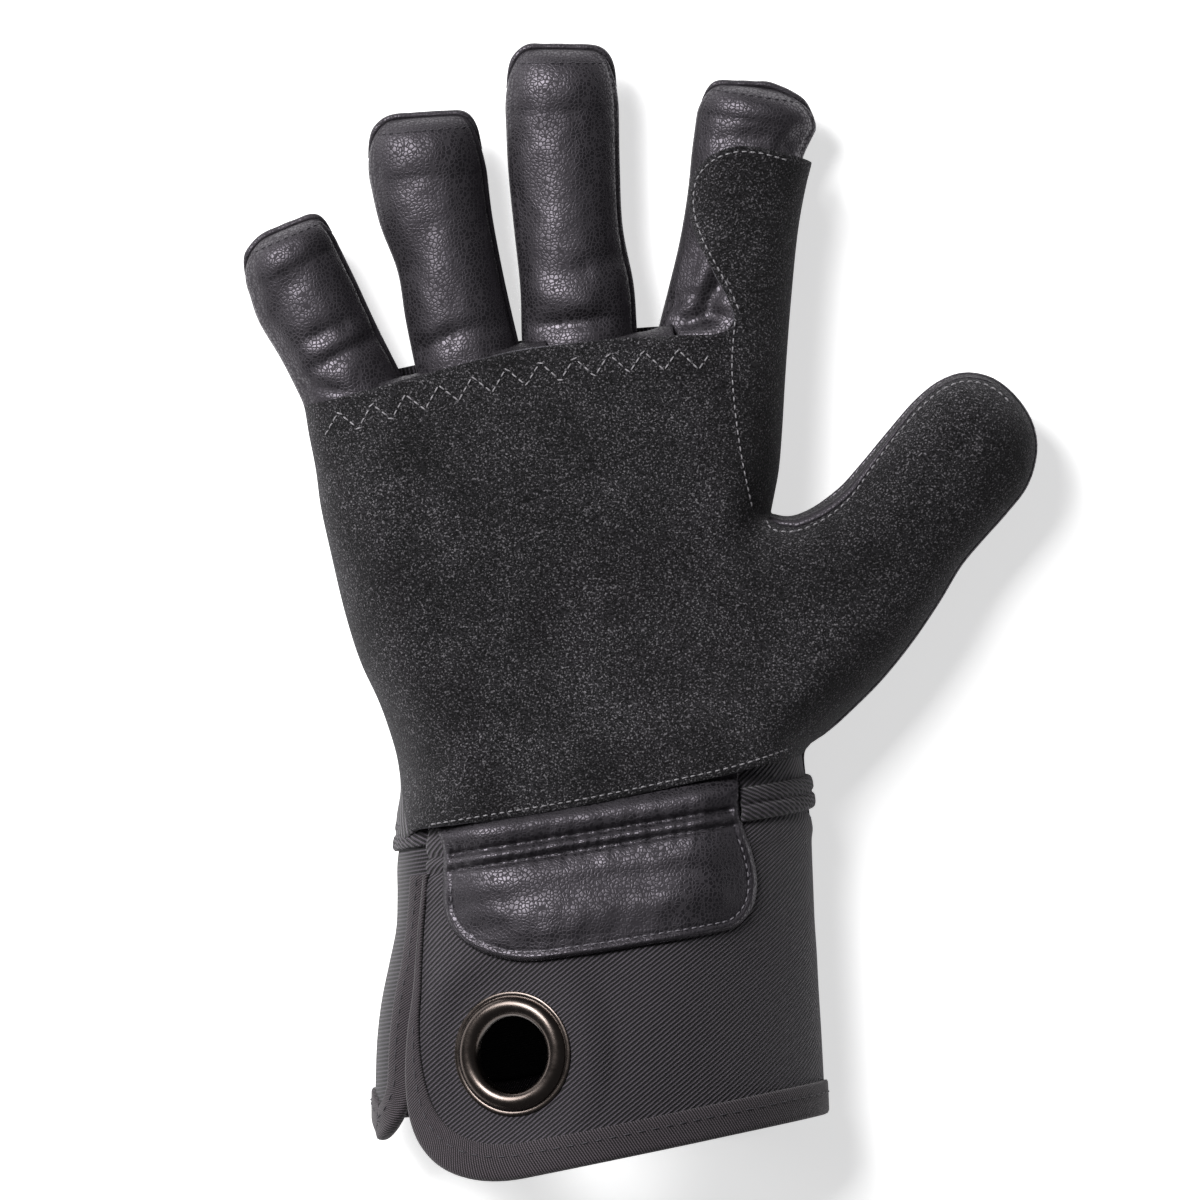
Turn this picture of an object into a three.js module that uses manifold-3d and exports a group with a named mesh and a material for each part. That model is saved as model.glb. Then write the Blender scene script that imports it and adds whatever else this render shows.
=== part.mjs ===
// Rope-work glove for the right hand, lying on its back with the palm up.
// Millimetres. +X towards the thumb, +Y towards the fingertips, +Z up out of the palm.
// Every soft layer is cut from one hollow form, which is lofted again at each layer's own offset.
import * as THREE from "three";
import { mergeVertices } from "three/addons/utils/BufferGeometryUtils.js";
import Module from "manifold-3d";

const wasm = await Module();
wasm.setup();

// Sizes of the whole
const HAND_LENGTH = 200; // wrist crease line to the end of the tallest stall
const CUFF_LENGTH = 83; // wrist crease line down to the hem, on the cuff's centreline
const PALM_WIDTH = 118; // across the four finger roots
const PALM_THICKNESS = 40; // back of the hand to the top of the palm
const CUFF_WIDTH = 110; // across the gauntlet near its hem
const CUFF_THICKNESS = 56; // back to front of the gauntlet
const CUFF_RISE = 0.185; // how far hem and wrist line climb towards the thumb, per unit of width

// Finger stalls and thumb
const STALL_THICKNESS = 25; // back to front of a finger stall
const THUMB_LENGTH = 95; // from its root inside the palm to its tip
const THUMB_WIDTH = 36;
const THUMB_THICKNESS = 28;
const THUMB_ANGLE = 46; // degrees from the X axis
const THUMB_LIFT = 5; // lowest line of the thumb above the floor
const THUMB_BOW = 0.078; // sideways bend, of THUMB_WIDTH
const STALL_PRESS = 2; // how much of a stall's round is pressed flat on the floor

// Layers and gaps
const GAP = 0.3;
const LEATHER = 1.3;
const SUEDE = 1.4;
const CLOTH = 1.4;
const TAPE = 0.9; // one thickness of the folded binding
const BINDING_WIDTH = 7.6;
const SEAM_HEIGHT = 12; // side seam between the palm side and the back of the hand

// Gauntlet slit and tucks
const SLIT_HEIGHT = 27; // top edge of the back flap above the floor
const TUCK_DEPTH = 1.7;
const TUCK_PITCH = 3.9;

// Eyelet
const EYELET_OUTER = 31;
const EYELET_HOLE = 18.8;
const EYELET_SHEET = 0.9;
const EYELET_CROWN = 2.6; // height of the rolled crown over the cloth
const EYELET_TURN = 22; // degrees the cuff's face turns away from the thumb at the eyelet
const EYELET_X = -0.204; // of CUFF_WIDTH, from the cuff's centreline
const EYELET_DOWN = 0.622; // of CUFF_LENGTH, below the wrist line

const AROUND = 24; // facets round the hand form
const AROUND_STALL = 14;
const AROUND_EYELET = 24;
const REACH = 200; // far enough past the part for cutting tools
const WELD = 0.01; // points closer than this are one point

const PALM_SQUARE = 0.86; // under 1 squares the hand's section off, 1 is an ellipse
const WIDEST = 0.43; // height of the section's widest line, in shares of its own height
const BACK_PRESS = 4; // how much of the back's round is pressed flat on the floor
const HOLLOW_SPREAD = 0.45; // half width of the palm's hollow, in shares of the half section

const rad = THREE.MathUtils.degToRad;
const WRIST_Y = -54.4;
const AXIS_X = -7.6;

// Rows of the hand form from past the hem to the finger roots.
// cuff rows: at = share of CUFF_LENGTH below the wrist line, left/right = shares of CUFF_WIDTH
// from the axis, top = share of CUFF_THICKNESS, crest = how far the top leans to the thumb's side
// in shares of CUFF_WIDTH, lift = layers kept clear under the hem.
const cuffRows = [
  { at: 1.24, left: 0.525, right: 0.496, top: 1.0, crest: 0.22, lift: 1 },
  { at: 0.74, left: 0.527, right: 0.491, top: 0.995, crest: 0.22, lift: 1 },
  { at: 0.52, left: 0.517, right: 0.484, top: 0.965, crest: 0.2, lift: 0 },
  { at: 0.32, left: 0.49, right: 0.477, top: 0.91, crest: 0.12, lift: 0 },
  { at: 0.17, left: 0.475, right: 0.472, top: 0.85, crest: 0.04, lift: 0 },
  { at: 0.085, left: 0.475, right: 0.47, top: 0.835, crest: 0.02, lift: 0 },
];

// palm rows: at = share of HAND_LENGTH above the wrist line, left/right = shares of PALM_WIDTH,
// top = share of PALM_THICKNESS, hollow = depth of the palm's hollow in the same shares.
const palmRows = [
  { at: 0.02, left: 0.438, right: 0.432, top: 1.13, rise: 1.0, hollow: 0, end: 0 },
  { at: 0.045, left: 0.428, right: 0.425, top: 1.1, rise: 1.0, hollow: 0, end: 0 },
  { at: 0.085, left: 0.43, right: 0.416, top: 1.03, rise: 0.7, hollow: 0.01, end: 0 },
  { at: 0.17, left: 0.48, right: 0.42, top: 1.02, rise: 0.3, hollow: 0.05, end: 0 },
  { at: 0.285, left: 0.547, right: 0.39, top: 1.0, rise: 0, hollow: 0.08, end: 0 },
  { at: 0.37, left: 0.578, right: 0.362, top: 0.98, rise: 0, hollow: 0.07, end: 0 },
  { at: 0.45, left: 0.597, right: 0.357, top: 0.93, rise: 0.1, hollow: 0.04, end: 0 },
  { at: 0.52, left: 0.606, right: 0.366, top: 0.83, rise: 0.35, hollow: 0, end: 0 },
  { at: 0.565, left: 0.6, right: 0.37, top: 0.72, rise: 0.6, hollow: 0, end: 0.3 },
  { at: 0.595, left: 0.54, right: 0.34, top: 0.56, rise: 0.7, hollow: 0, end: 1 },
];

// Finger stalls: x = share of PALM_WIDTH from the axis, y = share of HAND_LENGTH above the wrist
// line, both at the root; lean in degrees away from the thumb; long = share of HAND_LENGTH;
// wide = share of PALM_WIDTH; bow = sideways bend in shares of the stall's width; skew slants
// the blunt tip.
const stalls = [
  { name: "little_finger_stall", x: -0.526, y: 0.515, lean: 24, long: 0.2375, wide: 0.2424, bow: 0.017, skew: 0.42 },
  { name: "ring_finger_stall", x: -0.284, y: 0.575, lean: 11.6, long: 0.3175, wide: 0.25, bow: -0.02, skew: 0.12 },
  { name: "middle_finger_stall", x: -0.062, y: 0.6, lean: 3.8, long: 0.375, wide: 0.2492, bow: -0.017, skew: 0 },
  { name: "index_finger_stall", x: 0.236, y: 0.61, lean: -8.6, long: 0.32, wide: 0.2559, bow: 0.013, skew: -0.14 },
];

// Shape of every finger stall: at = share of its length, wide and thick = shares of its width
// and of STALL_THICKNESS.
const stallRows = [
  { at: -0.3, wide: 0.9, thick: 0.95 },
  { at: 0.05, wide: 0.99, thick: 1.04 },
  { at: 0.3, wide: 0.97, thick: 1.0 },
  { at: 0.5, wide: 1.0, thick: 1.0 },
  { at: 0.72, wide: 1.0, thick: 0.98 },
  { at: 0.87, wide: 0.94, thick: 0.92 },
  { at: 0.95, wide: 0.82, thick: 0.8 },
  { at: 1.0, wide: 0.56, thick: 0.5 },
];

const thumbRows = [
  { at: 0.0, wide: 1.0, thick: 1.1 },
  { at: 0.2, wide: 1.44, thick: 1.18 },
  { at: 0.4, wide: 1.2, thick: 1.14 },
  { at: 0.58, wide: 1.0, thick: 1.08 },
  { at: 0.76, wide: 0.97, thick: 1.02 },
  { at: 0.9, wide: 0.91, thick: 0.94 },
  { at: 0.965, wide: 0.72, thick: 0.76 },
  { at: 1.0, wide: 0.42, thick: 0.42 },
];

// Plan outlines: x in shares of PALM_WIDTH from the axis, y in shares of HAND_LENGTH above the
// wrist line.
const rootLine = [
  [-0.72, 0.518], [-0.527, 0.541], [-0.431, 0.557], [-0.304, 0.577], [-0.193, 0.592],
  [-0.069, 0.602], [0.058, 0.609], [0.211, 0.612], [0.5, 0.616],
];
const suedeFlap = [
  [0.246, 0.618], [0.259, 0.631], [0.248, 0.653], [0.215, 0.69], [0.179, 0.731],
  [0.163, 0.765], [0.163, 0.793], [0.173, 0.813], [0.207, 0.834], [0.257, 0.845], [0.305, 0.845],
  [0.36, 0.836], [0.423, 0.825], [0.5, 0.823],
];
const suedeLowEdge = [
  [0.44, 0.088], [0.278, 0.0725], [0.143, 0.054], [-0.058, 0.029], [-0.391, 0.0005],
];
const suedeSide = [[-0.558, 0.2645], [-0.72, 0.3]];
const thumbLine = [[0.47, 0.57], [0.352, 0.392], [0.4, 0.25], [0.452, 0.05]];

// Gauntlet outlines: x in shares of CUFF_WIDTH from the axis, y in shares of CUFF_LENGTH below
// the wrist line, and in the front edge the share of BINDING_WIDTH that is folded to the front.
const frontEdge = [
  [-0.207, 1.042, 1], [-0.322, 1.03, 1], [-0.365, 1.002, 1], [-0.401, 0.955, 1],
  [-0.428, 0.899, 0.95], [-0.445, 0.833, 0.85], [-0.457, 0.737, 0.75], [-0.462, 0.641, 0.65],
  [-0.445, 0.546, 0.55], [-0.439, 0.459, 0.5], [-0.433, 0.354, 0.5], [-0.428, 0.233, 0.5],
];
const flapCorner = [
  [-0.3, 0.975], [-0.4, 0.945], [-0.475, 0.912], [-0.505, 0.87], [-0.52, 0.82], [-0.7, 0.8],
];
const pulseOutline = [
  [0.3, -0.15], [0.318, 0.071], [0.33, 0.164], [0.323, 0.233], [0.283, 0.298], [0.226, 0.313],
  [0.082, 0.346], [-0.063, 0.376], [-0.207, 0.396], [-0.293, 0.37], [-0.349, 0.316],
  [-0.372, 0.271], [-0.38, 0.211], [-0.378, 0.154], [-0.376, -0.1],
];

const palmPoint = ([x, y]) => new THREE.Vector2(AXIS_X + x * PALM_WIDTH, WRIST_Y + y * HAND_LENGTH);
const cuffPoint = ([x, y]) => new THREE.Vector2(AXIS_X + x * CUFF_WIDTH, WRIST_Y - y * CUFF_LENGTH);

// Solids

function toManifold(geometry) {
  const bare = new THREE.BufferGeometry();
  bare.setAttribute("position", geometry.getAttribute("position"));
  if (geometry.index) bare.setIndex(geometry.index);
  const merged = mergeVertices(bare, 1e-4);
  return new wasm.Manifold(new wasm.Mesh({
    numProp: 3,
    vertProperties: new Float32Array(merged.getAttribute("position").array),
    triVerts: new Uint32Array(merged.index.array),
  }));
}

// The cut solid as one clean surface: slivers from grazing cuts are welded shut and dropped.
function toGeometry(solid) {
  const mesh = solid.getMesh();
  const raw = new THREE.BufferGeometry();
  raw.setAttribute("position", new THREE.BufferAttribute(new Float32Array(mesh.vertProperties), 3));
  raw.setIndex(new THREE.BufferAttribute(new Uint32Array(mesh.triVerts), 1));
  const welded = mergeVertices(raw, WELD);
  const index = welded.index.array;
  const faces = new Map();
  for (let i = 0; i < index.length; i += 3) {
    const face = [index[i], index[i + 1], index[i + 2]];
    if (new Set(face).size < 3) continue;
    const key = [...face].sort((p, q) => p - q).join();
    if (faces.has(key)) faces.delete(key);
    else faces.set(key, face);
  }
  const list = [...faces.values()];
  const edges = new Map();
  list.forEach((face, i) => {
    face.forEach((a, corner) => {
      const b = face[(corner + 1) % 3];
      const key = a < b ? `${a},${b}` : `${b},${a}`;
      edges.set(key, [...(edges.get(key) ?? []), i]);
    });
  });
  const owner = list.map((_, i) => i);
  const find = (i) => {
    let top = i;
    while (owner[top] !== top) top = owner[top];
    owner[i] = top;
    return top;
  };
  for (const sharers of edges.values()) {
    if (sharers.length === 2) owner[find(sharers[0])] = find(sharers[1]);
  }
  const bodies = new Map();
  list.forEach((face, i) => {
    const body = find(i);
    if (!bodies.has(body)) bodies.set(body, []);
    bodies.get(body).push(face);
  });
  const largest = [...bodies.values()].sort((p, q) => q.length - p.length)[0];
  welded.setIndex(largest.flat());
  return welded;
}

// A closed skin over rings of equal count, with a fan at both ends.
function skin(rings) {
  const around = rings[0].length;
  const points = rings.flat();
  const faces = [];
  for (let row = 0; row + 1 < rings.length; row += 1) {
    for (let k = 0; k < around; k += 1) {
      const next = (k + 1) % around;
      const a = row * around + k;
      const b = row * around + next;
      faces.push(a, b, b + around, a, b + around, a + around);
    }
  }
  for (const end of [0, rings.length - 1]) {
    const centre = new THREE.Vector3();
    rings[end].forEach((point) => centre.addScaledVector(point, 1 / around));
    points.push(centre);
    for (let k = 0; k < around; k += 1) {
      const a = end * around + k;
      const b = end * around + ((k + 1) % around);
      if (end === 0) faces.push(b, a, points.length - 1);
      else faces.push(a, b, points.length - 1);
    }
  }
  let volume = 0;
  for (let i = 0; i < faces.length; i += 3) {
    const [p, q, r] = [points[faces[i]], points[faces[i + 1]], points[faces[i + 2]]];
    volume += p.dot(new THREE.Vector3().crossVectors(q, r));
  }
  if (volume < 0) faces.reverse();
  const geometry = new THREE.BufferGeometry().setFromPoints(points);
  geometry.setIndex(faces);
  return geometry;
}

const power = (value, exponent) => Math.sign(value) * Math.abs(value) ** exponent;

// A prism with a plan outline, from height low to height high.
function prism(outline, low = -REACH, high = REACH) {
  const shape = new THREE.Shape(outline);
  const geometry = new THREE.ExtrudeGeometry(shape, { depth: high - low, bevelEnabled: false });
  geometry.translate(0, 0, low);
  return toManifold(geometry);
}

// The same open line moved sideways to its left by a distance, with mitred corners.
function moved(line, distance, shares = []) {
  return line.map((point, i) => {
    const before = line[Math.max(i - 1, 0)];
    const after = line[Math.min(i + 1, line.length - 1)];
    const a = point.clone().sub(before).normalize();
    const b = after.clone().sub(point).normalize();
    const along = i === 0 ? b : i === line.length - 1 ? a : a.clone().add(b).normalize();
    const side = new THREE.Vector2(-along.y, along.x);
    const edge = i === 0 ? b : a;
    const stretch = Math.max(side.dot(new THREE.Vector2(-edge.y, edge.x)), 0.5);
    return point.clone().addScaledVector(side, ((shares[i] ?? 1) * distance) / stretch);
  });
}

// A slot of one gap along a plan line, to keep the pieces on its two sides apart.
const kerf = (line, low = -REACH, high = REACH) => prism(
  [...moved(line, GAP / 2), ...moved(line, -GAP / 2).reverse()], low, high,
);

// The hand form

function bodyRing(row, offset) {
  const ring = [];
  for (let k = 0; k < AROUND; k += 1) {
    const angle = (2 * Math.PI * k) / AROUND;
    const c = power(Math.cos(angle), row.square);
    const s = power(Math.sin(angle), row.square);
    const half = (c > 0 ? row.right : row.left) + offset;
    const middle = WIDEST * row.top;
    const up = (s > 0 ? row.top - middle : middle + BACK_PRESS) + offset;
    const hollow = s > 0 ? row.hollow * s * Math.exp(-((c / HOLLOW_SPREAD) ** 2)) : 0;
    const floor = (row.lift ?? 0) - offset;
    ring.push(new THREE.Vector3(
      AXIS_X + half * c + (s > 0 ? row.crest * s * (1 - c * c) : 0),
      row.y + row.rise * (half - offset) * c + offset * (row.end ?? 0),
      Math.max(middle + up * s - hollow, floor),
    ));
  }
  return ring;
}

function bodyRows() {
  const rows = cuffRows.map((row) => ({
    y: WRIST_Y - row.at * CUFF_LENGTH,
    left: row.left * CUFF_WIDTH,
    right: row.right * CUFF_WIDTH,
    top: row.top * CUFF_THICKNESS,
    rise: CUFF_RISE,
    crest: row.crest * CUFF_WIDTH,
    square: PALM_SQUARE + (1 - PALM_SQUARE) * Math.min(5 * row.crest, 1),
    hollow: 0,
    lift: row.lift * (GAP + TAPE),
  }));
  const crest = rows[rows.length - 1];
  for (const [place, depth] of [[TUCK_PITCH, 1], [TUCK_PITCH / 2, 0.2], [0, 1]]) {
    rows.push({
      ...crest,
      y: WRIST_Y - place,
      left: crest.left - depth * TUCK_DEPTH,
      right: crest.right - depth * TUCK_DEPTH,
      top: crest.top - depth * TUCK_DEPTH,
    });
  }
  for (const row of palmRows) {
    rows.push({
      y: WRIST_Y + row.at * HAND_LENGTH,
      left: row.left * PALM_WIDTH,
      right: row.right * PALM_WIDTH,
      top: row.top * PALM_THICKNESS,
      rise: row.rise * CUFF_RISE,
      crest: 0,
      square: PALM_SQUARE,
      hollow: row.hollow * PALM_THICKNESS,
      end: row.end,
    });
  }
  return rows;
}

// A stall along a straight axis with a slight bow, flattened on the floor.
function tube(rows, spec, offset) {
  const along = new THREE.Vector2(-Math.sin(rad(spec.lean)), Math.cos(rad(spec.lean)));
  const side = new THREE.Vector2(along.y, -along.x);
  return skin(rows.map((row, i) => {
    const tip = i === rows.length - 1 ? 1 : 0;
    const wide = (row.wide * spec.width) / 2 + offset;
    const thick = (row.thick * spec.thickness) / 2 + offset;
    const reach = row.at * spec.length + tip * offset;
    const bow = spec.bow * Math.sin(Math.PI * Math.max(row.at, 0));
    const slant = spec.skew * Math.max(row.at, 0) ** 2;
    const ring = [];
    for (let k = 0; k < AROUND_STALL; k += 1) {
      const angle = (2 * Math.PI * (k + 0.5)) / AROUND_STALL;
      const across = wide * power(Math.cos(angle), 0.9);
      const height = thick * power(Math.sin(angle), 0.9);
      const far = reach + slant * across;
      const sideways = across + bow;
      ring.push(new THREE.Vector3(
        spec.root.x + along.x * far + side.x * sideways,
        spec.root.y + along.y * far + side.y * sideways,
        Math.max(spec.lift + spec.thickness / 2 + height, spec.lift + spec.flat - offset),
      ));
    }
    return ring;
  }));
}

const stallSpecs = stalls.map((stall) => ({
  ...stall,
  root: palmPoint([stall.x, stall.y]),
  length: stall.long * HAND_LENGTH,
  width: stall.wide * PALM_WIDTH,
  bow: stall.bow * stall.wide * PALM_WIDTH,
  thickness: STALL_THICKNESS + STALL_PRESS,
  lift: -STALL_PRESS,
  flat: STALL_PRESS,
}));

const thumbSpec = {
  root: palmPoint([0.28, 0.19]),
  lean: THUMB_ANGLE - 90,
  length: THUMB_LENGTH,
  width: THUMB_WIDTH,
  thickness: THUMB_THICKNESS,
  lift: THUMB_LIFT,
  flat: -THUMB_LIFT,
  bow: THUMB_BOW * THUMB_WIDTH,
  skew: 0,
};

const handRows = bodyRows();
const bodyLoft = (offset) => skin(handRows.map((row) => bodyRing(row, offset)));

// Eyelet place: straight above its plan point, on the cuff's outer face.
const eyeletPlan = new THREE.Vector2(
  AXIS_X + EYELET_X * CUFF_WIDTH,
  WRIST_Y - EYELET_DOWN * CUFF_LENGTH + CUFF_RISE * EYELET_X * CUFF_WIDTH,
);
const probe = new THREE.Mesh(bodyLoft(0));
const ray = new THREE.Raycaster(
  new THREE.Vector3(eyeletPlan.x, eyeletPlan.y, REACH), new THREE.Vector3(0, 0, -1),
);
const eyeletPoint = ray.intersectObject(probe)[0].point;
const eyeletFrame = new THREE.Matrix4()
  .makeTranslation(eyeletPoint.x, eyeletPoint.y, eyeletPoint.z)
  .multiply(new THREE.Matrix4().makeRotationY(-rad(EYELET_TURN)))
  .multiply(new THREE.Matrix4().makeRotationX(Math.PI / 2));

// A ring or cone turned about the eyelet's own axis; the profile is in radius and height.
function turned(profile) {
  const geometry = new THREE.LatheGeometry(
    profile.map(([radius, height]) => new THREE.Vector2(radius, height)), AROUND_EYELET,
  );
  return toManifold(geometry.applyMatrix4(eyeletFrame));
}

// A flat place under the eyelet's flange, fading out in a shallow cone.
const SEAT = EYELET_OUTER / 2 + 1;
const SEAT_FADE = 4;
const SEAT_EDGE = SEAT + 2.5 * SEAT_FADE;
const SEAT_REACH = CUFF_THICKNESS / 3;
const seatUp = (offset) => turned([
  [0, -SEAT_REACH], [SEAT_EDGE + offset, -SEAT_REACH],
  [SEAT_EDGE + offset, offset - SEAT_FADE], [SEAT, offset], [0, offset],
]);
const seatCut = (offset) => turned([
  [0, offset], [SEAT, offset], [SEAT_EDGE - offset, offset + SEAT_FADE],
  [SEAT_EDGE - offset, SEAT_REACH], [0, SEAT_REACH],
]);

const formCache = new Map();
function form(offset) {
  if (!formCache.has(offset)) {
    let solid = toManifold(bodyLoft(offset)).add(seatUp(offset)).subtract(seatCut(offset));
    for (const spec of stallSpecs) solid = solid.add(toManifold(tube(stallRows, spec, offset)));
    solid = solid.add(toManifold(tube(thumbRows, thumbSpec, offset)));
    formCache.set(offset, solid);
  }
  return formCache.get(offset);
}
const shell = (outer, inner) => form(outer).subtract(form(inner));

// Seam lines in plan

const roots = rootLine.map(palmPoint);
const crotches = [
  [[-0.43, 0.54], [-0.455, 0.62], [-0.6, 0.9]],
  [[-0.193, 0.57], [-0.205, 0.68], [-0.22, 1.2]],
  [[0.078, 0.59], [0.105, 0.68], [0.17, 1.2]],
].map((line) => line.map(palmPoint));
const thumbSeam = thumbLine.map(palmPoint);
const wristLine = [[-1.2, -0.56], [-0.56, -0.56], [0.45, 0.45], [1.2, 0.45]].map(([x, level]) => (
  new THREE.Vector2(AXIS_X + x * CUFF_WIDTH, WRIST_Y + CUFF_RISE * level * CUFF_WIDTH)
));
const sideLine = [
  [-0.9, 0.2645], [-0.545, 0.2645], [-0.385, 0.03], [-0.385, -0.2],
].map(palmPoint);

const leatherWalls = shell(0, -LEATHER)
  .subtract(kerf(roots))
  .subtract(kerf(thumbSeam))
  .subtract(kerf(wristLine));

const pieces = {};

// Finger stalls
let fingerWalls = leatherWalls;
for (const line of crotches) fingerWalls = fingerWalls.subtract(kerf(line));
stallSpecs.forEach((spec, i) => {
  const leftLine = i > 0 ? crotches[i - 1] : [[-1.2, 0.5], [-1.2, 1.3]].map(palmPoint);
  const rightLine = i < 3 ? crotches[i] : [[0.52, 0.6], [0.52, 1.3]].map(palmPoint);
  const cell = [...leftLine, ...[...rightLine].reverse()];
  const above = [...roots, palmPoint([0.8, 1.4]), palmPoint([-1.3, 1.4])];
  pieces[spec.name] = fingerWalls.intersect(prism(above)).intersect(prism(cell));
});

// Thumb stall
const thumbCell = [...thumbSeam, palmPoint([0.6, -0.1]), palmPoint([1.2, 0.1]), palmPoint([1.2, 0.8])];
const belowRoots = [...roots, palmPoint([1.0, -0.3]), palmPoint([-1.0, -0.3])];
const aboveWrist = [...wristLine, palmPoint([1.0, 1.4]), palmPoint([-1.0, 1.4])];
pieces.thumb_stall = leatherWalls.intersect(prism(thumbCell)).intersect(prism(aboveWrist));

// Palm side in leather, back of the hand in fabric
const handWalls = leatherWalls
  .intersect(prism(belowRoots))
  .intersect(prism(aboveWrist))
  .subtract(prism(thumbCell));
const palmSide = [...sideLine, palmPoint([0.9, -0.2]), palmPoint([0.9, 1.2]), palmPoint([-0.9, 1.2])];
const palmSideGrown = [
  ...moved(sideLine, -GAP), palmPoint([0.9, -0.2]), palmPoint([0.9, 1.2]), palmPoint([-0.9, 1.2]),
];
pieces.palm_panel = handWalls.intersect(prism(palmSide, SEAM_HEIGHT));
pieces.back_panel = handWalls.subtract(prism(palmSideGrown, SEAM_HEIGHT - GAP));

// Suede reinforcement over the palm, the thumb's face and the outer side of the index finger
const suedeOutline = [
  ...rootLine.slice(0, -1).map(palmPoint),
  ...suedeFlap.map(palmPoint),
  ...[[0.47, 0.6], [0.36, 0.4]].map(palmPoint),
  ...[[0.62, 0.66], [1.0, 0.7], [1.2, 0.4], [0.6, 0.1]].map(palmPoint),
  ...suedeLowEdge.map(palmPoint),
  ...suedeSide.map(palmPoint),
];
pieces.suede_palm = shell(GAP + SUEDE, GAP).intersect(prism(suedeOutline, SEAM_HEIGHT + 1));

// Gauntlet: front panel and back flap are one cloth, open along the slit
const hemLine = [0.6, -0.207].map((x) => new THREE.Vector2(
  AXIS_X + x * CUFF_WIDTH, WRIST_Y - 1.0 * CUFF_LENGTH + CUFF_RISE * x * CUFF_WIDTH,
));
const frontLine = [hemLine[0], ...frontEdge.map(cuffPoint)];
const foldShares = [1, ...frontEdge.map((row) => row[2])];
const flapLine = [hemLine[0], ...flapCorner.map(cuffPoint)];
const cuffTop = moved(wristLine, -GAP / 2);
const slitEnd = wristLine[0].y - BINDING_WIDTH - GAP;

function cuffRegion(inset, top = cuffTop) {
  const front = moved(frontLine, -inset, inset === BINDING_WIDTH ? foldShares : []);
  const flap = moved(flapLine, -inset);
  front[front.length - 1].y = slitEnd + inset;
  const right = new THREE.Vector2(top[3].x, front[0].y);
  const frontCell = [...front, new THREE.Vector2(top[0].x, slitEnd + inset), ...top, right];
  const flapCell = [...flap, new THREE.Vector2(top[0].x, flap[flap.length - 1].y), ...top, right];
  const joinX = AXIS_X - 0.05 * CUFF_WIDTH;
  const joinCell = [
    new THREE.Vector2(joinX, -REACH), new THREE.Vector2(REACH, -REACH),
    new THREE.Vector2(REACH, REACH), new THREE.Vector2(-REACH, REACH),
    new THREE.Vector2(-REACH, slitEnd + inset), new THREE.Vector2(joinX, slitEnd + inset),
  ];
  const low = prism(flapCell, -REACH, SLIT_HEIGHT - inset);
  const high = prism(frontCell, SLIT_HEIGHT);
  const join = prism(flapCell, SLIT_HEIGHT - inset - 1, SLIT_HEIGHT + 1).intersect(prism(joinCell));
  return low.add(high).add(join);
}

const eyeletBore = EYELET_HOLE / 2 + EYELET_SHEET + GAP;
const clothHole = turned([[0, -3 * CLOTH], [eyeletBore, -3 * CLOTH], [eyeletBore, 3 * CLOTH], [0, 3 * CLOTH]]);
const edgeWidth = TAPE + GAP;
pieces.cuff_panel = shell(0, -CLOTH).intersect(cuffRegion(edgeWidth)).subtract(clothHole);
pieces.cuff_binding = shell(edgeWidth, -CLOTH - edgeWidth)
  .intersect(cuffRegion(0))
  .subtract(shell(GAP, -CLOTH - GAP).intersect(cuffRegion(TAPE, moved(wristLine, GAP))))
  .subtract(cuffRegion(BINDING_WIDTH, moved(wristLine, GAP)));

// Pulse patch over the tucks
const pulseCell = pulseOutline.map(cuffPoint);
pieces.pulse_patch = shell(GAP + LEATHER, GAP)
  .intersect(prism(pulseCell, SLIT_HEIGHT))
  .intersect(prism([...cuffTop, new THREE.Vector2(REACH, -REACH), new THREE.Vector2(-REACH, -REACH)]));

// Eyelet: a crown rolled over from the barrel, and the washer that it is set against
const bore = EYELET_HOLE / 2;
const barrel = bore + EYELET_SHEET;
const rim = EYELET_OUTER / 2;
const under = -CLOTH - GAP;
const washerFoot = under - EYELET_SHEET;
pieces.eyelet = turned([
  [bore, washerFoot - GAP - EYELET_SHEET],
  [barrel + 1.6, washerFoot - GAP - EYELET_SHEET],
  [barrel + 1.6, washerFoot - GAP],
  [barrel, washerFoot - GAP],
  [barrel, GAP],
  [rim, GAP],
  [rim, GAP + 0.6],
  [rim - 1.3, GAP + 0.9],
  [rim - 2.2, 0.8 * EYELET_CROWN],
  [(bore + rim) / 2 + 0.4, EYELET_CROWN],
  [(bore + rim) / 2 - 1.2, 0.95 * EYELET_CROWN],
  [bore, 0.4 * EYELET_CROWN],
  [bore, washerFoot - GAP - EYELET_SHEET],
]);
pieces.eyelet_washer = turned([
  [barrel + GAP, washerFoot], [rim - 1, washerFoot], [rim, under - 0.4],
  [rim, under], [barrel + GAP, under], [barrel + GAP, washerFoot],
]);

// The group

const looks = {
  little_finger_stall: { color: 0x2b282d, roughness: 0.55 },
  ring_finger_stall: { color: 0x2b282d, roughness: 0.55 },
  middle_finger_stall: { color: 0x2b282d, roughness: 0.55 },
  index_finger_stall: { color: 0x2b282d, roughness: 0.55 },
  thumb_stall: { color: 0x2b282d, roughness: 0.55 },
  palm_panel: { color: 0x2a272c, roughness: 0.55 },
  back_panel: { color: 0x37343a, roughness: 0.9 },
  suede_palm: { color: 0x262526, roughness: 1 },
  cuff_panel: { color: 0x37343a, roughness: 0.9 },
  cuff_binding: { color: 0x3a3538, roughness: 0.9 },
  pulse_patch: { color: 0x29262b, roughness: 0.5 },
  eyelet: { color: 0x6f6a66, roughness: 0.35, metalness: 1 },
  eyelet_washer: { color: 0x6f6a66, roughness: 0.35, metalness: 1 },
};

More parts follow.
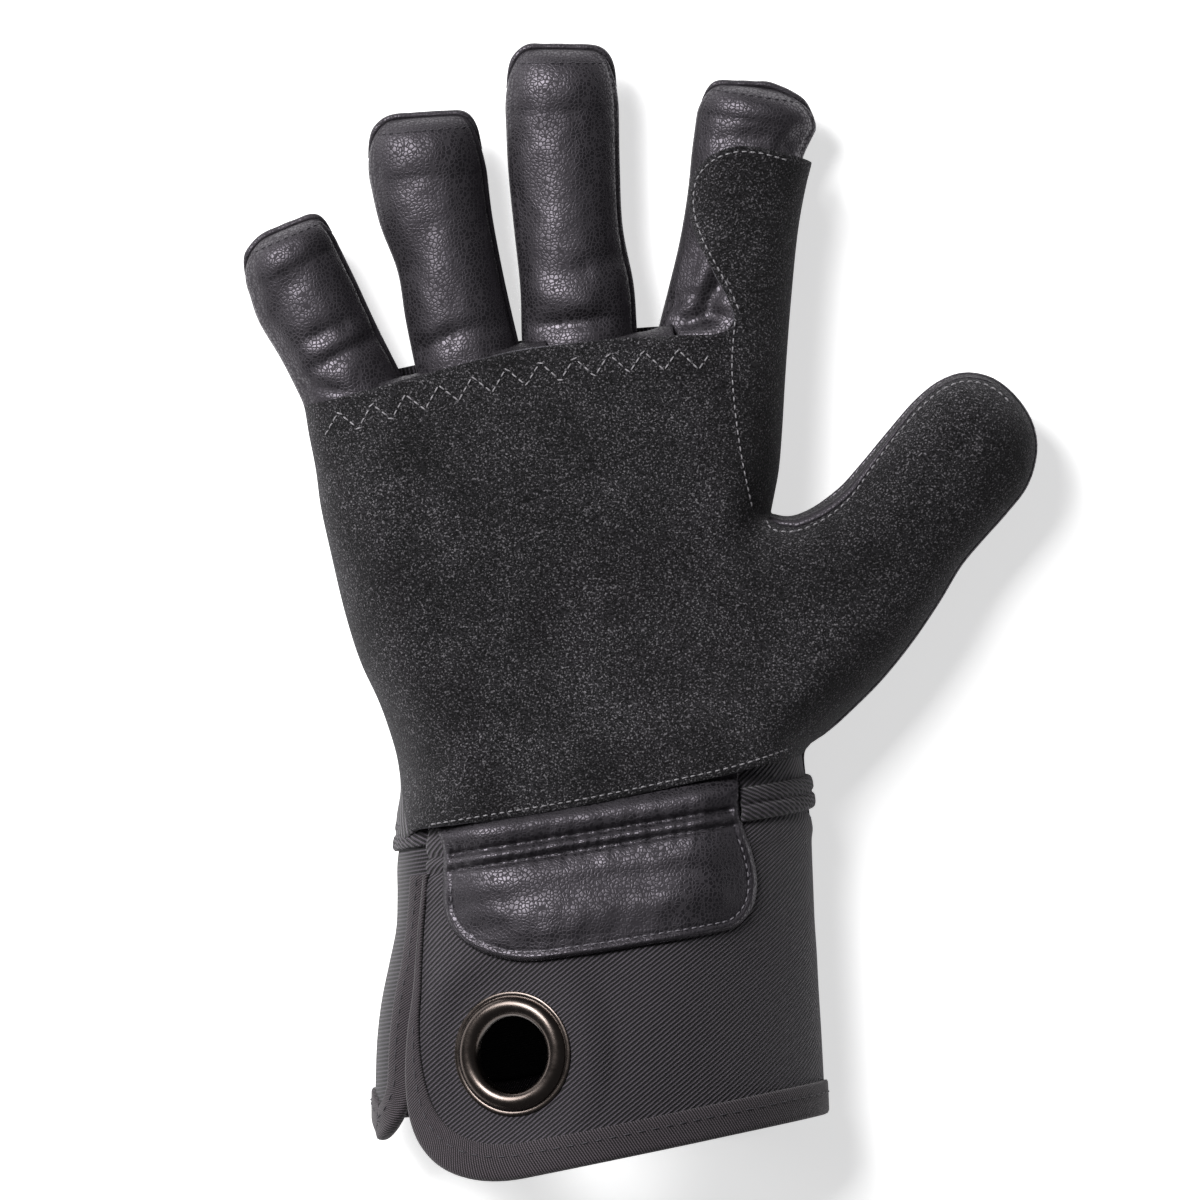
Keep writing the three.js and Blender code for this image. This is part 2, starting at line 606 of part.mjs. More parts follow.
const glove = new THREE.Group();
glove.name = "rope_glove";
const bounds = new THREE.Box3();
const meshes = Object.entries(pieces).map(([name, solid]) => {
  const mesh = new THREE.Mesh(toGeometry(solid), new THREE.MeshStandardMaterial(looks[name]));
  mesh.name = name;
  bounds.expandByObject(mesh);
  return mesh;
});
const centre = bounds.getCenter(new THREE.Vector3());
for (const mesh of meshes) {
  mesh.geometry.translate(-centre.x, -centre.y, 0);
  glove.add(mesh);
}

export default glove;
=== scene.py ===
import math

import bpy
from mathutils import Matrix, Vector
import numpy as np


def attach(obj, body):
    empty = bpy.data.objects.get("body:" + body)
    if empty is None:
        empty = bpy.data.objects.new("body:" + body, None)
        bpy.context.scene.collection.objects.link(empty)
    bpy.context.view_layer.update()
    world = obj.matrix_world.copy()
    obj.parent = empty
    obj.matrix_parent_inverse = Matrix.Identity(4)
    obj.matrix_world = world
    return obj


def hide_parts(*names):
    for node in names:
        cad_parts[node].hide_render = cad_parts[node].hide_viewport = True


bl_info = {
    "name": "Rope Glove",
    "version": (1, 0, 0),
    "blender": (4, 2, 0),
    "location": "3D View > Sidebar > Glove",
    "description": "Builds the looks of a leather rope glove on its CAD frame",
    "category": "Add Mesh",
}

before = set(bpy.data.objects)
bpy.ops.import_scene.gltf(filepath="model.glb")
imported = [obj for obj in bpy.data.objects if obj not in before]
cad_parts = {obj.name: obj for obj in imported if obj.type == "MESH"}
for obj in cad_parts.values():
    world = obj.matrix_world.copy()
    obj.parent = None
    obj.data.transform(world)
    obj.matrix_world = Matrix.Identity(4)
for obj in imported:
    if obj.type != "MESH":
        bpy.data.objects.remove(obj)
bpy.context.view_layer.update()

MM = 0.001
PIXEL = 0.248  # mm of the glove in one pixel of the photograph
PHOTO_MIDDLE = (640.5, 608.5)  # the pixel over the frame's origin


# ---------------------------------------------------------------- numbers


def table(names, *rows):
    """A table with named columns, a row for each station."""
    return dict(zip(names.split(), np.array(rows, float).T))


def plan(*points):
    """Photograph pixels as places in the frame's plan, in mm: x right, y up."""
    return (np.array(points, float) - PHOTO_MIDDLE) * (PIXEL, -PIXEL)


def soft(t):
    """0 to 1 with level ends: 3t2 - 2t3."""
    t = np.clip(t, 0, 1)
    return t * t * (3 - 2 * t)


def roll(t):
    """A quarter circle: 0 and upright at t = 0, 1 and level from t = 1 on."""
    return np.sqrt(1 - (1 - np.clip(t, 0, 1)) ** 2)


def unit(v):
    return v / np.maximum(np.linalg.norm(v, axis=-1, keepdims=True), 1e-9)


def hermite(knots, values, at):
    """Cubic spans through the values, each with the slope of its neighbours."""
    slopes = np.gradient(values, knots, axis=0)
    i = np.clip(np.searchsorted(knots, at, side="right") - 1, 0, len(knots) - 2)
    h = knots[i + 1] - knots[i]
    w = np.clip((at - knots[i]) / h, 0, 1)
    if values.ndim > 1:
        h, w = h[:, None], w[:, None]
    return (
        values[i] * (1 + 2 * w) * (1 - w) ** 2
        + values[i + 1] * w * w * (3 - 2 * w)
        + h * slopes[i] * w * (1 - w) ** 2
        - h * slopes[i + 1] * w * w * (1 - w)
    )


def column(rows, key, name, at):
    """One column of a table, read smoothly at any place along its key column."""
    return hermite(rows[key], rows[name], np.asarray(at, float))


def resampled(line, count):
    """The line again with count points at equal steps along it."""
    s = np.r_[0, np.cumsum(np.linalg.norm(np.diff(line, axis=0), axis=1))]
    t = np.linspace(0, s[-1], count)
    return np.stack([np.interp(t, s, c) for c in line.T], axis=1)


def through(points, step=1.0):
    """A smooth line through a few points, with a point every step mm."""
    points = np.asarray(points, float)
    knots = np.r_[
        0, np.cumsum(np.linalg.norm(np.diff(points, axis=0), axis=1) ** 0.5)
    ]
    dense = hermite(knots, points, np.linspace(0, knots[-1], 30 * len(points)))
    length = np.linalg.norm(np.diff(dense, axis=0), axis=1).sum()
    return resampled(dense, max(2, int(length / step) + 1))


def nearest(p, line):
    """The distance from each plan point to a line, and the place on the line."""
    best = np.full(len(p), np.inf)
    foot = np.zeros_like(p)
    for a, b in zip(line[:-1], line[1:]):
        d = b - a
        t = np.clip(((p - a) @ d) / max(d @ d, 1e-12), 0, 1)
        c = a + t[:, None] * d
        e = np.hypot(*(p - c).T)
        closer = e < best
        best[closer] = e[closer]
        foot[closer] = c[closer]
    return best, foot


def within(p, outline):
    """Whether each plan point is inside a closed outline: it crosses an odd number of sides."""
    odd = np.zeros(len(p), bool)
    for (ax, ay), (bx, by) in zip(outline, np.roll(outline, -1, axis=0)):
        if ay == by:
            continue
        cross = (ay > p[:, 1]) != (by > p[:, 1])
        odd ^= cross & (p[:, 0] < ax + (p[:, 1] - ay) * (bx - ax) / (by - ay))
    return odd


def ripple(p, seed, length, waves=9):
    """Soft random waves of about the given length in mm, between about -1 and 1."""
    rng = np.random.default_rng(seed)
    turn = rng.uniform(0, 2 * math.pi, waves)
    rate = 2 * math.pi / (length * rng.uniform(0.7, 1.6, waves))
    start = rng.uniform(0, 2 * math.pi, waves)
    k = np.stack([np.cos(turn) * rate, np.sin(turn) * rate])
    return np.sin(p @ k + start).sum(axis=-1) / math.sqrt(waves) * 0.7


# ------------------------------------------------------------- the glove's form

# Silhouettes in the plan, from the fingers to the wrist.
LEFT_LINE = through(
    plan(
        (246, 290), (257, 319), (281, 360), (296, 389), (303, 405), (308, 433),
        (315, 469), (320, 506), (330, 552), (345, 615), (360, 662), (378, 701),
        (388, 728), (397, 760), (400, 790), (396, 818), (395, 850), (396, 880),
    )
)
INDEX_SIDE = through(
    plan(
        (818, 130), (812, 163), (807, 183), (799, 226), (791, 305), (786, 372),
        (782, 438), (779, 471), (774, 498), (771, 513),
    )
)
THUMB_SIDE = through(
    plan(
        (771, 513), (789, 516), (815, 507), (840, 490), (861, 467), (890, 432),
        (918, 400), (941, 382), (965, 374), (992, 379), (1016, 398), (1032, 424),
        (1036, 450), (1027, 484), (1006, 512), (981, 540), (961, 564), (938, 602),
        (910, 643), (880, 680), (850, 710), (825, 733), (806, 750), (806, 775),
        (811, 815), (812, 850),
    )
)
RIGHT_LINE = np.concatenate([INDEX_SIDE, THUMB_SIDE[1:]])
INDEX_LEFT = through(
    plan((697, 110), (690, 160), (688, 190), (682, 230), (672, 275), (659, 330))
)

ROOT_START = plan((303, 405))[0]
DOWN_HAND = np.array([0.167, -0.986])  # from the finger roots to the wrist

CROWN = table(
    "down height",
    (-70, 25.8), (-15, 26.6), (-4, 27.4), (3, 28.9), (12, 31.2), (26, 34.2),
    (45, 36.8), (66, 39.0), (86, 42.2), (100, 45.2), (110, 46.4), (124, 46.8),
)
SIDE_HEIGHT = 14.0
THUMB_BASE = plan((800, 640))[0]
THUMB_TURN = math.radians(49)
THUMB_AXIS = np.array([math.cos(THUMB_TURN), math.sin(THUMB_TURN)])
LEFT_ROLL, RIGHT_ROLL, BACK_ROLL, STALL_ROLL = 22.0, 14.0, 16.0, 12.0


def down_hand(p):
    """How far a plan point is below the finger roots, in mm."""
    return (p - ROOT_START) @ DOWN_HAND


def thumbness(p):
    """0 on the palm and 1 on the thumb, by the place along the thumb's axis."""
    return soft((p - THUMB_BASE) @ THUMB_AXIS / 34.0 + 0.35)


def side_height(p):
    """The height at which front and back meet."""
    return SIDE_HEIGHT + 4.0 * thumbness(p) + soft((down_hand(p) - 88) / 28)


def crown(p):
    """The height of the front away from its edges: palm, heel and thumb in one."""
    v = down_hand(p)
    hollow = 3.0 * np.exp(-(((p[:, 0] + 8) / 27) ** 2) - ((v - 62) / 25) ** 2)
    palm = column(CROWN, "down", "height", v) - hollow
    along = (p - THUMB_BASE) @ THUMB_AXIS
    thumb = 38.5 - 5.0 * soft(along / 75)
    return palm + (thumb - palm) * thumbness(p)


def palm_front(p):
    """The front of the hand: the crown, rolled down to the side at each silhouette."""
    left, _ = nearest(p, LEFT_LINE)
    right, _ = nearest(p, RIGHT_LINE)
    stall, _ = nearest(p, INDEX_LEFT)
    on_stall = soft((-down_hand(p) + 2) / 14)
    low = side_height(p)
    r = roll(left / LEFT_ROLL) * roll(right / RIGHT_ROLL)
    r = r * (1 - on_stall + on_stall * roll((stall + 1.5) / STALL_ROLL))
    waves = 0.45 * ripple(p, 3, 26) + 0.22 * ripple(p, 4, 11)
    return low + (crown(p) - low + waves) * r - creases(p, PALM_FOLDS)


def palm_back(p):
    """The back of the hand: flat where it rests, rolled up to the side at each silhouette."""
    side, _ = nearest(p, np.concatenate([LEFT_LINE, RIGHT_LINE[::-1]]))
    low = 4.0 * thumbness(p)
    high = side_height(p)
    return high - (high - low) * roll(side / BACK_ROLL)


# Folds and dents seen in the photograph: middle (pixels), turn, half length,
# half width and depth. A negative depth stands proud.
PALM_FOLDS = table(
    "x y turn long wide deep",
    (752, 545, -62, 9, 2.6, 1.5),
    (765, 575, -75, 12, 3.4, 0.9),
    (735, 400, 88, 22, 3.0, 0.45),
    (905, 560, 40, 16, 5.0, 0.7),
    (480, 560, 12, 26, 9.0, 0.7),
    (600, 700, 10, 30, 8.0, 0.5),
    (420, 500, 75, 22, 7.0, 0.6),
    (840, 690, 44, 16, 3.5, 0.8),
)


def creases(p, rows):
    """Each fold is a soft valley: a bell across it that fades towards its ends."""
    deep = np.zeros(len(p))
    for x, y, turn, long, wide, depth in zip(*rows.values()):
        a = math.radians(turn)
        q = p - plan((x, y))[0]
        s = q @ (math.cos(a), math.sin(a)) / long
        c = q @ (-math.sin(a), math.cos(a)) / wide
        deep += depth * np.exp(-c * c) * soft(1.4 * (1 - np.abs(s)))
    return deep


# The cuff by mm below the first tuck: silhouettes, front panel's free edge,
# height and how far in from each side the front is rolled.
CUFF = table(
    "down left right edge top roll_left roll_right",
    (-16, -58.4, 39.4, -53.0, 41.4, 23, 19),
    (-8, -59.2, 40.4, -53.0, 43.0, 25, 23),
    (0, -60.4, 41.6, -53.2, 44.8, 28, 28),
    (8, -60.4, 42.4, -53.8, 46.8, 32, 34),
    (16, -60.7, 42.7, -54.6, 48.8, 37, 39),
    (24, -62.4, 43.0, -55.3, 50.4, 43, 43),
    (32, -64.2, 43.3, -56.0, 51.6, 48, 47),
    (40, -65.3, 43.8, -57.2, 52.5, 52, 51),
    (50, -65.8, 44.3, -57.9, 53.4, 56, 54),
    (62, -65.8, 45.0, -57.2, 54.0, 60, 56),
    (76, -65.6, 45.7, -57.0, 54.2, 60, 57),
    (92, -65.4, 46.2, -57.0, 54.2, 60, 57),
)
CUFF_SIDE = 15.0
WRIST_Y = -54.4
CUFF_AXIS = -7.0
HEM_DOWN, FLAP_DOWN = 81.2, 65.0
CORNER, CORNER_DEEP = 32.0, 24.0
FLAP_CORNER = 14.0
CUFF_FIRST, CUFF_LAST = -16, 88
CUFF_COLUMNS = 620
CUFF_FLOOR = 1.3

EYELET_AT = np.array([-31.76, -110.22, 47.77])
EYELET_TURN = math.radians(22)
EYELET_AXIS = np.array([-math.sin(EYELET_TURN), 0, math.cos(EYELET_TURN)])
SEAT_DEPTH = 0.45


def rise(b):
    """The slope of the wrist's lines, which grows towards the hem."""
    return 0.162 + 0.043 * soft(np.asarray(b) / 70)


def cuff_y(x, b):
    return WRIST_Y - b + rise(b) * (x - CUFF_AXIS)


def cuff_down(p):
    """How far a plan point is below the first tuck."""
    b = WRIST_Y - p[:, 1]
    for _ in range(3):
        b = WRIST_Y - p[:, 1] + rise(b) * (p[:, 0] - CUFF_AXIS)
    return b


def cuff_height(x, b):
    """The front of the cuff: its top, rolled down at both sides, with a flat seat under the eyelet."""
    left = column(CUFF, "down", "left", b)
    right = column(CUFF, "down", "right", b)
    top = column(CUFF, "down", "top", b)
    r = roll((x - left) / column(CUFF, "down", "roll_left", b))
    r = r * roll((right - x) / column(CUFF, "down", "roll_right", b))
    y = cuff_y(x, b)
    waves = 0.5 * ripple(np.stack([x, y], -1), 11, 34) * soft(b / 20)
    z = CUFF_SIDE + (top - CUFF_SIDE + waves) * r
    middle = EYELET_AT - SEAT_DEPTH * EYELET_AXIS
    seat = middle[2] + (x - middle[0]) * math.tan(EYELET_TURN)
    away = np.hypot((x - middle[0]) / math.cos(EYELET_TURN), y - middle[1])
    return z + (seat - z) * (1 - soft((away - 16.5) / 12))


def cuff_front(p):
    return cuff_height(p[:, 0], cuff_down(p))


def cuff_ring(b, count):
    """One section of the cuff as an open line: from the front panel's free edge over the
    front, round the right side, under the back, and up and over the left side to the
    flap's edge, which lies under the front panel. The points are at equal steps."""
    left, right, edge = (column(CUFF, "down", k, b) for k in ("left", "right", "edge"))
    quarter = np.linspace(0, math.pi / 2, 60)
    x = edge + (right - edge) * np.sin(np.linspace(0, math.pi / 2, 400))
    front = [x, cuff_height(x, np.full_like(x, b))]
    turn = [
        right - BACK_ROLL * (1 - np.cos(quarter)),
        CUFF_SIDE * (1 - np.sin(quarter)),
    ]
    flat = np.linspace(right - BACK_ROLL, left + BACK_ROLL, 200)
    back = [flat, np.zeros_like(flat)]
    up = [
        left + BACK_ROLL * (1 - np.cos(quarter[::-1])),
        CUFF_SIDE * (1 - np.sin(quarter[::-1])),
    ]
    drop = 1.9 + 1.4 * soft((b - 14) / 22)
    high = front[1][0] - drop
    reach = edge + 2.2 - left
    over = np.linspace(0, math.acos(max(1 - reach / 9.5, 0)), 60)
    flap = [
        left + 9.5 * (1 - np.cos(over)),
        CUFF_SIDE + (high - CUFF_SIDE) * np.sin(over),
    ]
    line = np.concatenate([np.stack(s, 1)[1:] for s in (front, turn, back, up, flap)])
    return resampled(line, count)


def cuff_sections():
    """All sections in one array, row by row down the cuff, with their normals and lengths."""
    downs = np.arange(CUFF_FIRST, CUFF_LAST + 1, 1.0)
    rings = np.array([cuff_ring(b, CUFF_COLUMNS) for b in downs])
    y = cuff_y(rings[..., 0], downs[:, None])
    z = rings[..., 1] + CUFF_FLOOR * soft((14 - rings[..., 1]) / 14)
    at = np.stack([rings[..., 0], y, z], axis=-1)
    out = unit(np.cross(np.gradient(at, axis=0), np.gradient(at, axis=1)))
    length = np.linalg.norm(np.diff(rings, axis=1), axis=2).sum(axis=1)
    return at, out, length


CUFF_AT, CUFF_OUT, CUFF_LENGTH = cuff_sections()


def cuff_at(f, b, lift=0.0):
    """A place on the cuff from its share f round the section and its mm b down, lifted off it."""
    f, b = np.broadcast_arrays(np.asarray(f, float), np.asarray(b, float))
    u, v = f * (CUFF_COLUMNS - 1), b - CUFF_FIRST
    i = np.clip(np.floor(v).astype(int), 0, len(CUFF_AT) - 2)
    j = np.clip(np.floor(u).astype(int), 0, CUFF_COLUMNS - 2)
    v, u = (v - i)[..., None], (u - j)[..., None]

    def mixed(grid):
        low = grid[i, j] * (1 - u) + grid[i, j + 1] * u
        high = grid[i + 1, j] * (1 - u) + grid[i + 1, j + 1] * u
        return low * (1 - v) + high * v

    at = mixed(CUFF_AT) + unit(mixed(CUFF_OUT)) * np.asarray(lift)[..., None]
    at[..., 2] = np.maximum(at[..., 2], 0.03)
    return at


def cuff_length(b):
    return np.interp(b, np.arange(CUFF_FIRST, CUFF_LAST + 1), CUFF_LENGTH)


def cuff_side(b):
    """The share round the section where the right silhouette is."""
    most = CUFF_AT[..., 0].argmax(axis=1) / (CUFF_COLUMNS - 1)
    return np.interp(b, np.arange(CUFF_FIRST, CUFF_LAST + 1), most)


def corner(s, wide, deep):
    """How far a rounded corner, a quarter ellipse, pulls the hem up at s mm from the free edge."""
    t = np.clip(1 - s / wide, 0, 1)
    return deep * (1 - np.sqrt(1 - t**2))


def hem(f):
    """The mm down at which the cuff ends, all round: level, shorter at the flap, with two round corners."""
    length = cuff_length(75.0)
    near, far = f * length, (1 - f) * length
    down = HEM_DOWN - (HEM_DOWN - FLAP_DOWN) * soft((118 - far) / 46)
    down = down - 5 * soft((far - 9) / 14) * soft((66 - far) / 40)
    return down - corner(near, CORNER, CORNER_DEEP) - corner(far, FLAP_CORNER, FLAP_CORNER)


# ------------------------------------------------------------------- meshes


def finished(name, material, nodes, smooth=True):
    """Gives a new piece its material and its place in the frame."""
    piece = bpy.data.objects[name]
    piece.data.materials.append(material)
    if smooth:
        piece.data.shade_smooth()
    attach(piece, "root")
    if nodes:
        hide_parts(*nodes)
    return piece


def mesh_object(name, points, faces, uv=None, wall=0.0, shade_lining=0):
    """A mesh in metres from points in mm, its own UV map in mm, and a wall laid inwards."""
    mesh = bpy.data.meshes.new(name)
    mesh.from_pydata(np.asarray(points) * MM, [], np.asarray(faces))
    if uv is not None:
        layer = mesh.uv_layers.new(name="cloth")
        corners = np.empty(len(mesh.loops), np.int32)
        mesh.loops.foreach_get("vertex_index", corners)
        layer.data.foreach_set("uv", uv[corners].astype(np.float32).ravel())
    mesh.update()
    piece = bpy.data.objects.new(name, mesh)
    bpy.context.scene.collection.objects.link(piece)
    if wall:
        solid = piece.modifiers.new("wall", "SOLIDIFY")
        solid.thickness = wall * MM
        solid.offset = -1
        solid.material_offset = shade_lining
    return piece


def quads(rows, columns, closed=False):
    """The faces of a grid whose points run row by row."""
    i, j = np.meshgrid(np.arange(rows - 1), np.arange(columns - (not closed)), indexing="ij")
    k = (j + 1) % columns
    return np.stack(
        [i * columns + j, i * columns + k, (i + 1) * columns + k, (i + 1) * columns + j], -1
    ).reshape(-1, 4)


def grid_piece(name, points, uv=None, wall=0.0, closed=False, turn=False):
    """A piece from a grid of points. With turn, its faces look the other way."""
    rows, columns = points.shape[:2]
    faces = quads(rows, columns, closed)
    if turn:
        faces = faces[:, ::-1]
    flat_uv = None if uv is None else uv.reshape(-1, 2)
    return mesh_object(name, points.reshape(-1, 3), faces, flat_uv, wall)


def squeezed(p, line, reach):
    """Moves points towards a silhouette so that the roll down to it has even steps:
    d mm away becomes reach times (1 - cos(90 degrees times d / reach))."""
    d, foot = nearest(p, line)
    near = d < reach
    new = reach * (1 - np.cos(math.pi / 2 * d[near] / reach))
    p = p.copy()
    p[near] = foot[near] + (p[near] - foot[near]) * (new / np.maximum(d[near], 1e-6))[:, None]
    return p


def plan_piece(name, outline, height, pitch, wall, sides, uv_turn=0.0, down=False, lift=0.0, hole=None):
    """A sheet cut to an outline in the plan and laid on a height. A square net of points is
    kept inside the outline, its border moved onto the outline, and its points near each
    silhouette in sides drawn towards it. With down, the sheet faces the floor."""
    low, high = outline.min(axis=0) - pitch, outline.max(axis=0) + pitch
    xs, ys = (np.arange(a, b, pitch) for a, b in zip(low, high))
    net = np.stack(np.meshgrid(xs, ys, indexing="xy"), -1).reshape(-1, 2)
    loop = np.concatenate([outline, outline[:1]])
    away, foot = nearest(net, loop)
    inside = within(net, outline)
    keep = inside | (away < 0.45 * pitch)
    if hole is not None:
        keep &= ~hole(net)
    faces = quads(len(ys), len(xs))
    faces = faces[keep[faces].all(axis=1)]
    uses = np.bincount(faces.ravel(), minlength=len(net))
    border = (uses > 0) & (uses < 4) & (away < 2.2 * pitch)
    cut = net.copy()
    cut[border] = foot[border]
    for line, reach in sides:
        cut = squeezed(cut, line, reach)
    used = np.flatnonzero(uses)
    new_index = np.zeros(len(net), int)
    new_index[used] = np.arange(len(used))
    faces = new_index[faces]
    p, flat = cut[used], net[used]
    points = np.column_stack([p, height(p) + lift])
    a = math.radians(uv_turn)
    uv = flat @ np.array([[math.cos(a), math.sin(a)], [-math.sin(a), math.cos(a)]])
    if down:
        faces = faces[:, ::-1]
    return mesh_object(name, points, faces, uv, wall)


def on_height(line, height, lift=0.0, turn=1.0):
    """A plan line laid on a height, with the outward normals along it."""
    step = 0.4
    z = height(line)
    slope_x = (height(line + (step, 0)) - height(line - (step, 0))) / (2 * step)
    slope_y = (height(line + (0, step)) - height(line - (0, step))) / (2 * step)
    out = unit(np.column_stack([-slope_x, -slope_y, np.ones(len(z))])) * turn
    return np.column_stack([line, z]) + out * lift, out


def frames(path, out):
    """The direction along a path and the direction across it, square to its normals."""
    along = unit(np.gradient(path, axis=0))
    across = unit(np.cross(out, along))
    return along, across, unit(np.cross(along, across))


def sweep(path, out, profile, scale=None):
    """A closed profile carried along a path: its first number across the path, its
    second out from the surface. Each end is drawn to a point."""
    _, across, normal = frames(path, out)
    scale = np.ones(len(path)) if scale is None else np.asarray(scale)
    body = (
        path[:, None]
        + across[:, None] * (profile[None, :, :1] * scale[:, None, None])
        + normal[:, None] * (profile[None, :, 1:] * scale[:, None, None])
    )
    ends = [np.repeat(body[k].mean(axis=0)[None, None], len(profile), 1) for k in (0, -1)]
    return np.concatenate([ends[0], body, ends[1]])


def closed_sweep(name, path, out, profile, scale=None):
    """A swept piece with its ends welded to points."""
    grid = sweep(path, out, profile, scale)
    along = np.r_[0, np.cumsum(np.linalg.norm(np.diff(grid.mean(axis=1), axis=0), axis=1))]
    round_it = np.r_[0, np.cumsum(np.linalg.norm(np.diff(profile, axis=0), axis=1))]
    uv = np.stack(np.meshgrid(round_it, along), -1)
    piece = grid_piece(name, grid, uv, closed=True)
    weld(piece)
    return piece


def weld(piece, apart=1e-7):
    """Joins points in one place and turns all faces outwards."""
    import bmesh

    shape = bmesh.new()
    shape.from_mesh(piece.data)
    bmesh.ops.remove_doubles(shape, verts=shape.verts, dist=apart)
    bmesh.ops.recalc_face_normals(shape, faces=shape.faces)
    shape.to_mesh(piece.data)
    shape.free()


def stitch_shape():
    """One stitch 1 long and 1 thick: a round thread whose ends dip under the surface."""
    s = np.linspace(-1, 1, 7)
    a = np.linspace(0, 2 * math.pi, 7)[:-1]
    thick = 0.5 * np.sqrt(1 - (0.96 * s) ** 2) ** 0.6
    x = np.repeat(0.5 * s[:, None], 6, axis=1)
    y = thick[:, None] * np.cos(a)
    z = thick[:, None] * np.sin(a) + 0.35 - 0.75 * s[:, None] ** 4
    return np.stack([x, y, z], -1)


def stitches(name, runs, length, gap, thread, slant=0.0):
    """A row of stitches along each run, a path and its normals: equal stitches with equal
    gaps, each laid along the path and turned a little by slant."""
    shape = stitch_shape()
    faces = quads(*shape.shape[:2], closed=True)
    points, all_faces = [], []
    count = 0
    for path, out in runs:
        total = np.linalg.norm(np.diff(path, axis=0), axis=1).sum()
        number = max(1, int(round(total / (length + gap))))
        line = resampled(np.column_stack([path, out]), 2 * number + 1)[1::2]
        at, normal = line[:, :3], unit(line[:, 3:])
        fine = resampled(path, 8 * number + 1)
        along = unit(fine[7::8][:number] - fine[1::8][:number])
        across = unit(np.cross(normal, along))
        along = unit(along + slant * across)
        across = unit(np.cross(normal, along))
        normal = np.cross(along, across)
        one = (
            at[:, None, None]
            + along[:, None, None] * (shape[None, ..., 0:1] * length)
            + across[:, None, None] * (shape[None, ..., 1:2] * thread)
            + normal[:, None, None] * (shape[None, ..., 2:3] * thread)
        ).reshape(-1, 3)
        size = shape.shape[0] * shape.shape[1]
        all_faces.append(
            (faces[None] + size * (count + np.arange(number))[:, None, None]).reshape(-1, 4)
        )
        points.append(one)
        count += number
    piece = mesh_object(name, np.concatenate(points), np.concatenate(all_faces))
    return piece


# ----------------------------------------------------------------- materials


def linear(code):
    """An sRGB hex colour as linear RGBA."""
    values = [int(code[i : i + 2], 16) / 255 for i in (1, 3, 5)]
    return tuple(v / 12.92 if v <= 0.04045 else ((v + 0.055) / 1.055) ** 2.4 for v in values) + (1.0,)


def add(tree, kind, links=None, **settings):
    """Adds a node, sets its properties or sockets, and links sockets from other nodes.
    A name with a space, or a number, is a socket; any other is a property."""
    node = tree.nodes.new("ShaderNode" + kind)
    for key, value in settings.items():
        if hasattr(node, key):
            setattr(node, key, value)
        else:
            node.inputs[key.replace("_", " ")].default_value = value
    for key, source in (links or {}).items():
        tree.links.new(source, node.inputs[key])
    return node


def new_material(name):
    material = bpy.data.materials.new(name)
    material.use_nodes = True
    return material, material.node_tree, material.node_tree.nodes["Principled BSDF"]


def goat_leather(name, colour, grain=1.0, gloss=0.4):
    """Chrome-tanned goat nappa, plated and glazed: closed pebbles of about 0.9 mm with
    fine creases between them, which catch small highlights under a thin dark finish.
    The creases are coloured near black: painted shade."""
    material, tree, skin = new_material(name)
    at = add(tree, "TexCoord").outputs["Object"]
    bend = add(tree, "TexNoise", {"Vector": at}, Scale=500.0, Detail=1.0)
    shift = add(tree, "VectorMath", {0: bend.outputs["Color"]}, operation="SCALE", Scale=0.0006)
    where = add(tree, "VectorMath", {0: at, 1: shift.outputs[0]}, operation="ADD")
    cells = add(
        tree,
        "TexVoronoi",
        {"Vector": where.outputs[0]},
        feature="DISTANCE_TO_EDGE",
        Scale=1000 / grain,
        Randomness=0.85,
    )
    pebble = add(
        tree,
        "MapRange",
        {"Value": cells.outputs["Distance"]},
        interpolation_type="SMOOTHSTEP",
        From_Max=0.26,
    )
    broad = add(tree, "TexNoise", {"Vector": at}, Scale=85.0, Detail=2.0, Roughness=0.5)
    bump = add(tree, "Bump", {"Height": pebble.outputs[0]}, Strength=1.0, Distance=0.000038)
    bump2 = add(
        tree,
        "Bump",
        {"Height": broad.outputs["Fac"], "Normal": bump.outputs[0]},
        Strength=0.3,
        Distance=0.001,
    )
    base = linear(colour)
    # painted shade: the creases between the pebbles are coloured at 5% of the leather's colour
    crease_painted_shade = tuple(c * 0.05 for c in base[:3]) + (1.0,)
    shade = add(tree, "ValToRGB", {"Fac": pebble.outputs[0]})
    shade.color_ramp.elements[0].position = 0.12
    shade.color_ramp.elements[0].color = crease_painted_shade
    shade.color_ramp.elements[1].position = 0.75
    shade.color_ramp.elements[1].color = base
    creased = add(
        tree,
        "MapRange",
        {"Value": pebble.outputs[0]},
        From_Min=0.1,
        From_Max=0.7,
        To_Min=0.8,
        To_Max=gloss,
    )
    worn = add(
        tree,
        "MapRange",
        {"Value": broad.outputs["Fac"]},
        From_Min=0.35,
        From_Max=0.65,
        To_Min=-0.03,
        To_Max=0.06,
    )
    rough = add(tree, "Math", {0: creased.outputs[0], 1: worn.outputs[0]}, operation="ADD")
    tree.links.new(shade.outputs[0], skin.inputs["Base Color"])
    tree.links.new(rough.outputs[0], skin.inputs["Roughness"])
    tree.links.new(bump2.outputs[0], skin.inputs["Normal"])
    skin.inputs["IOR"].default_value = 1.5
    skin.inputs["Specular IOR Level"].default_value = 1.0
    skin.inputs["Specular Tint"].default_value = linear("#efe6f3")
    return material


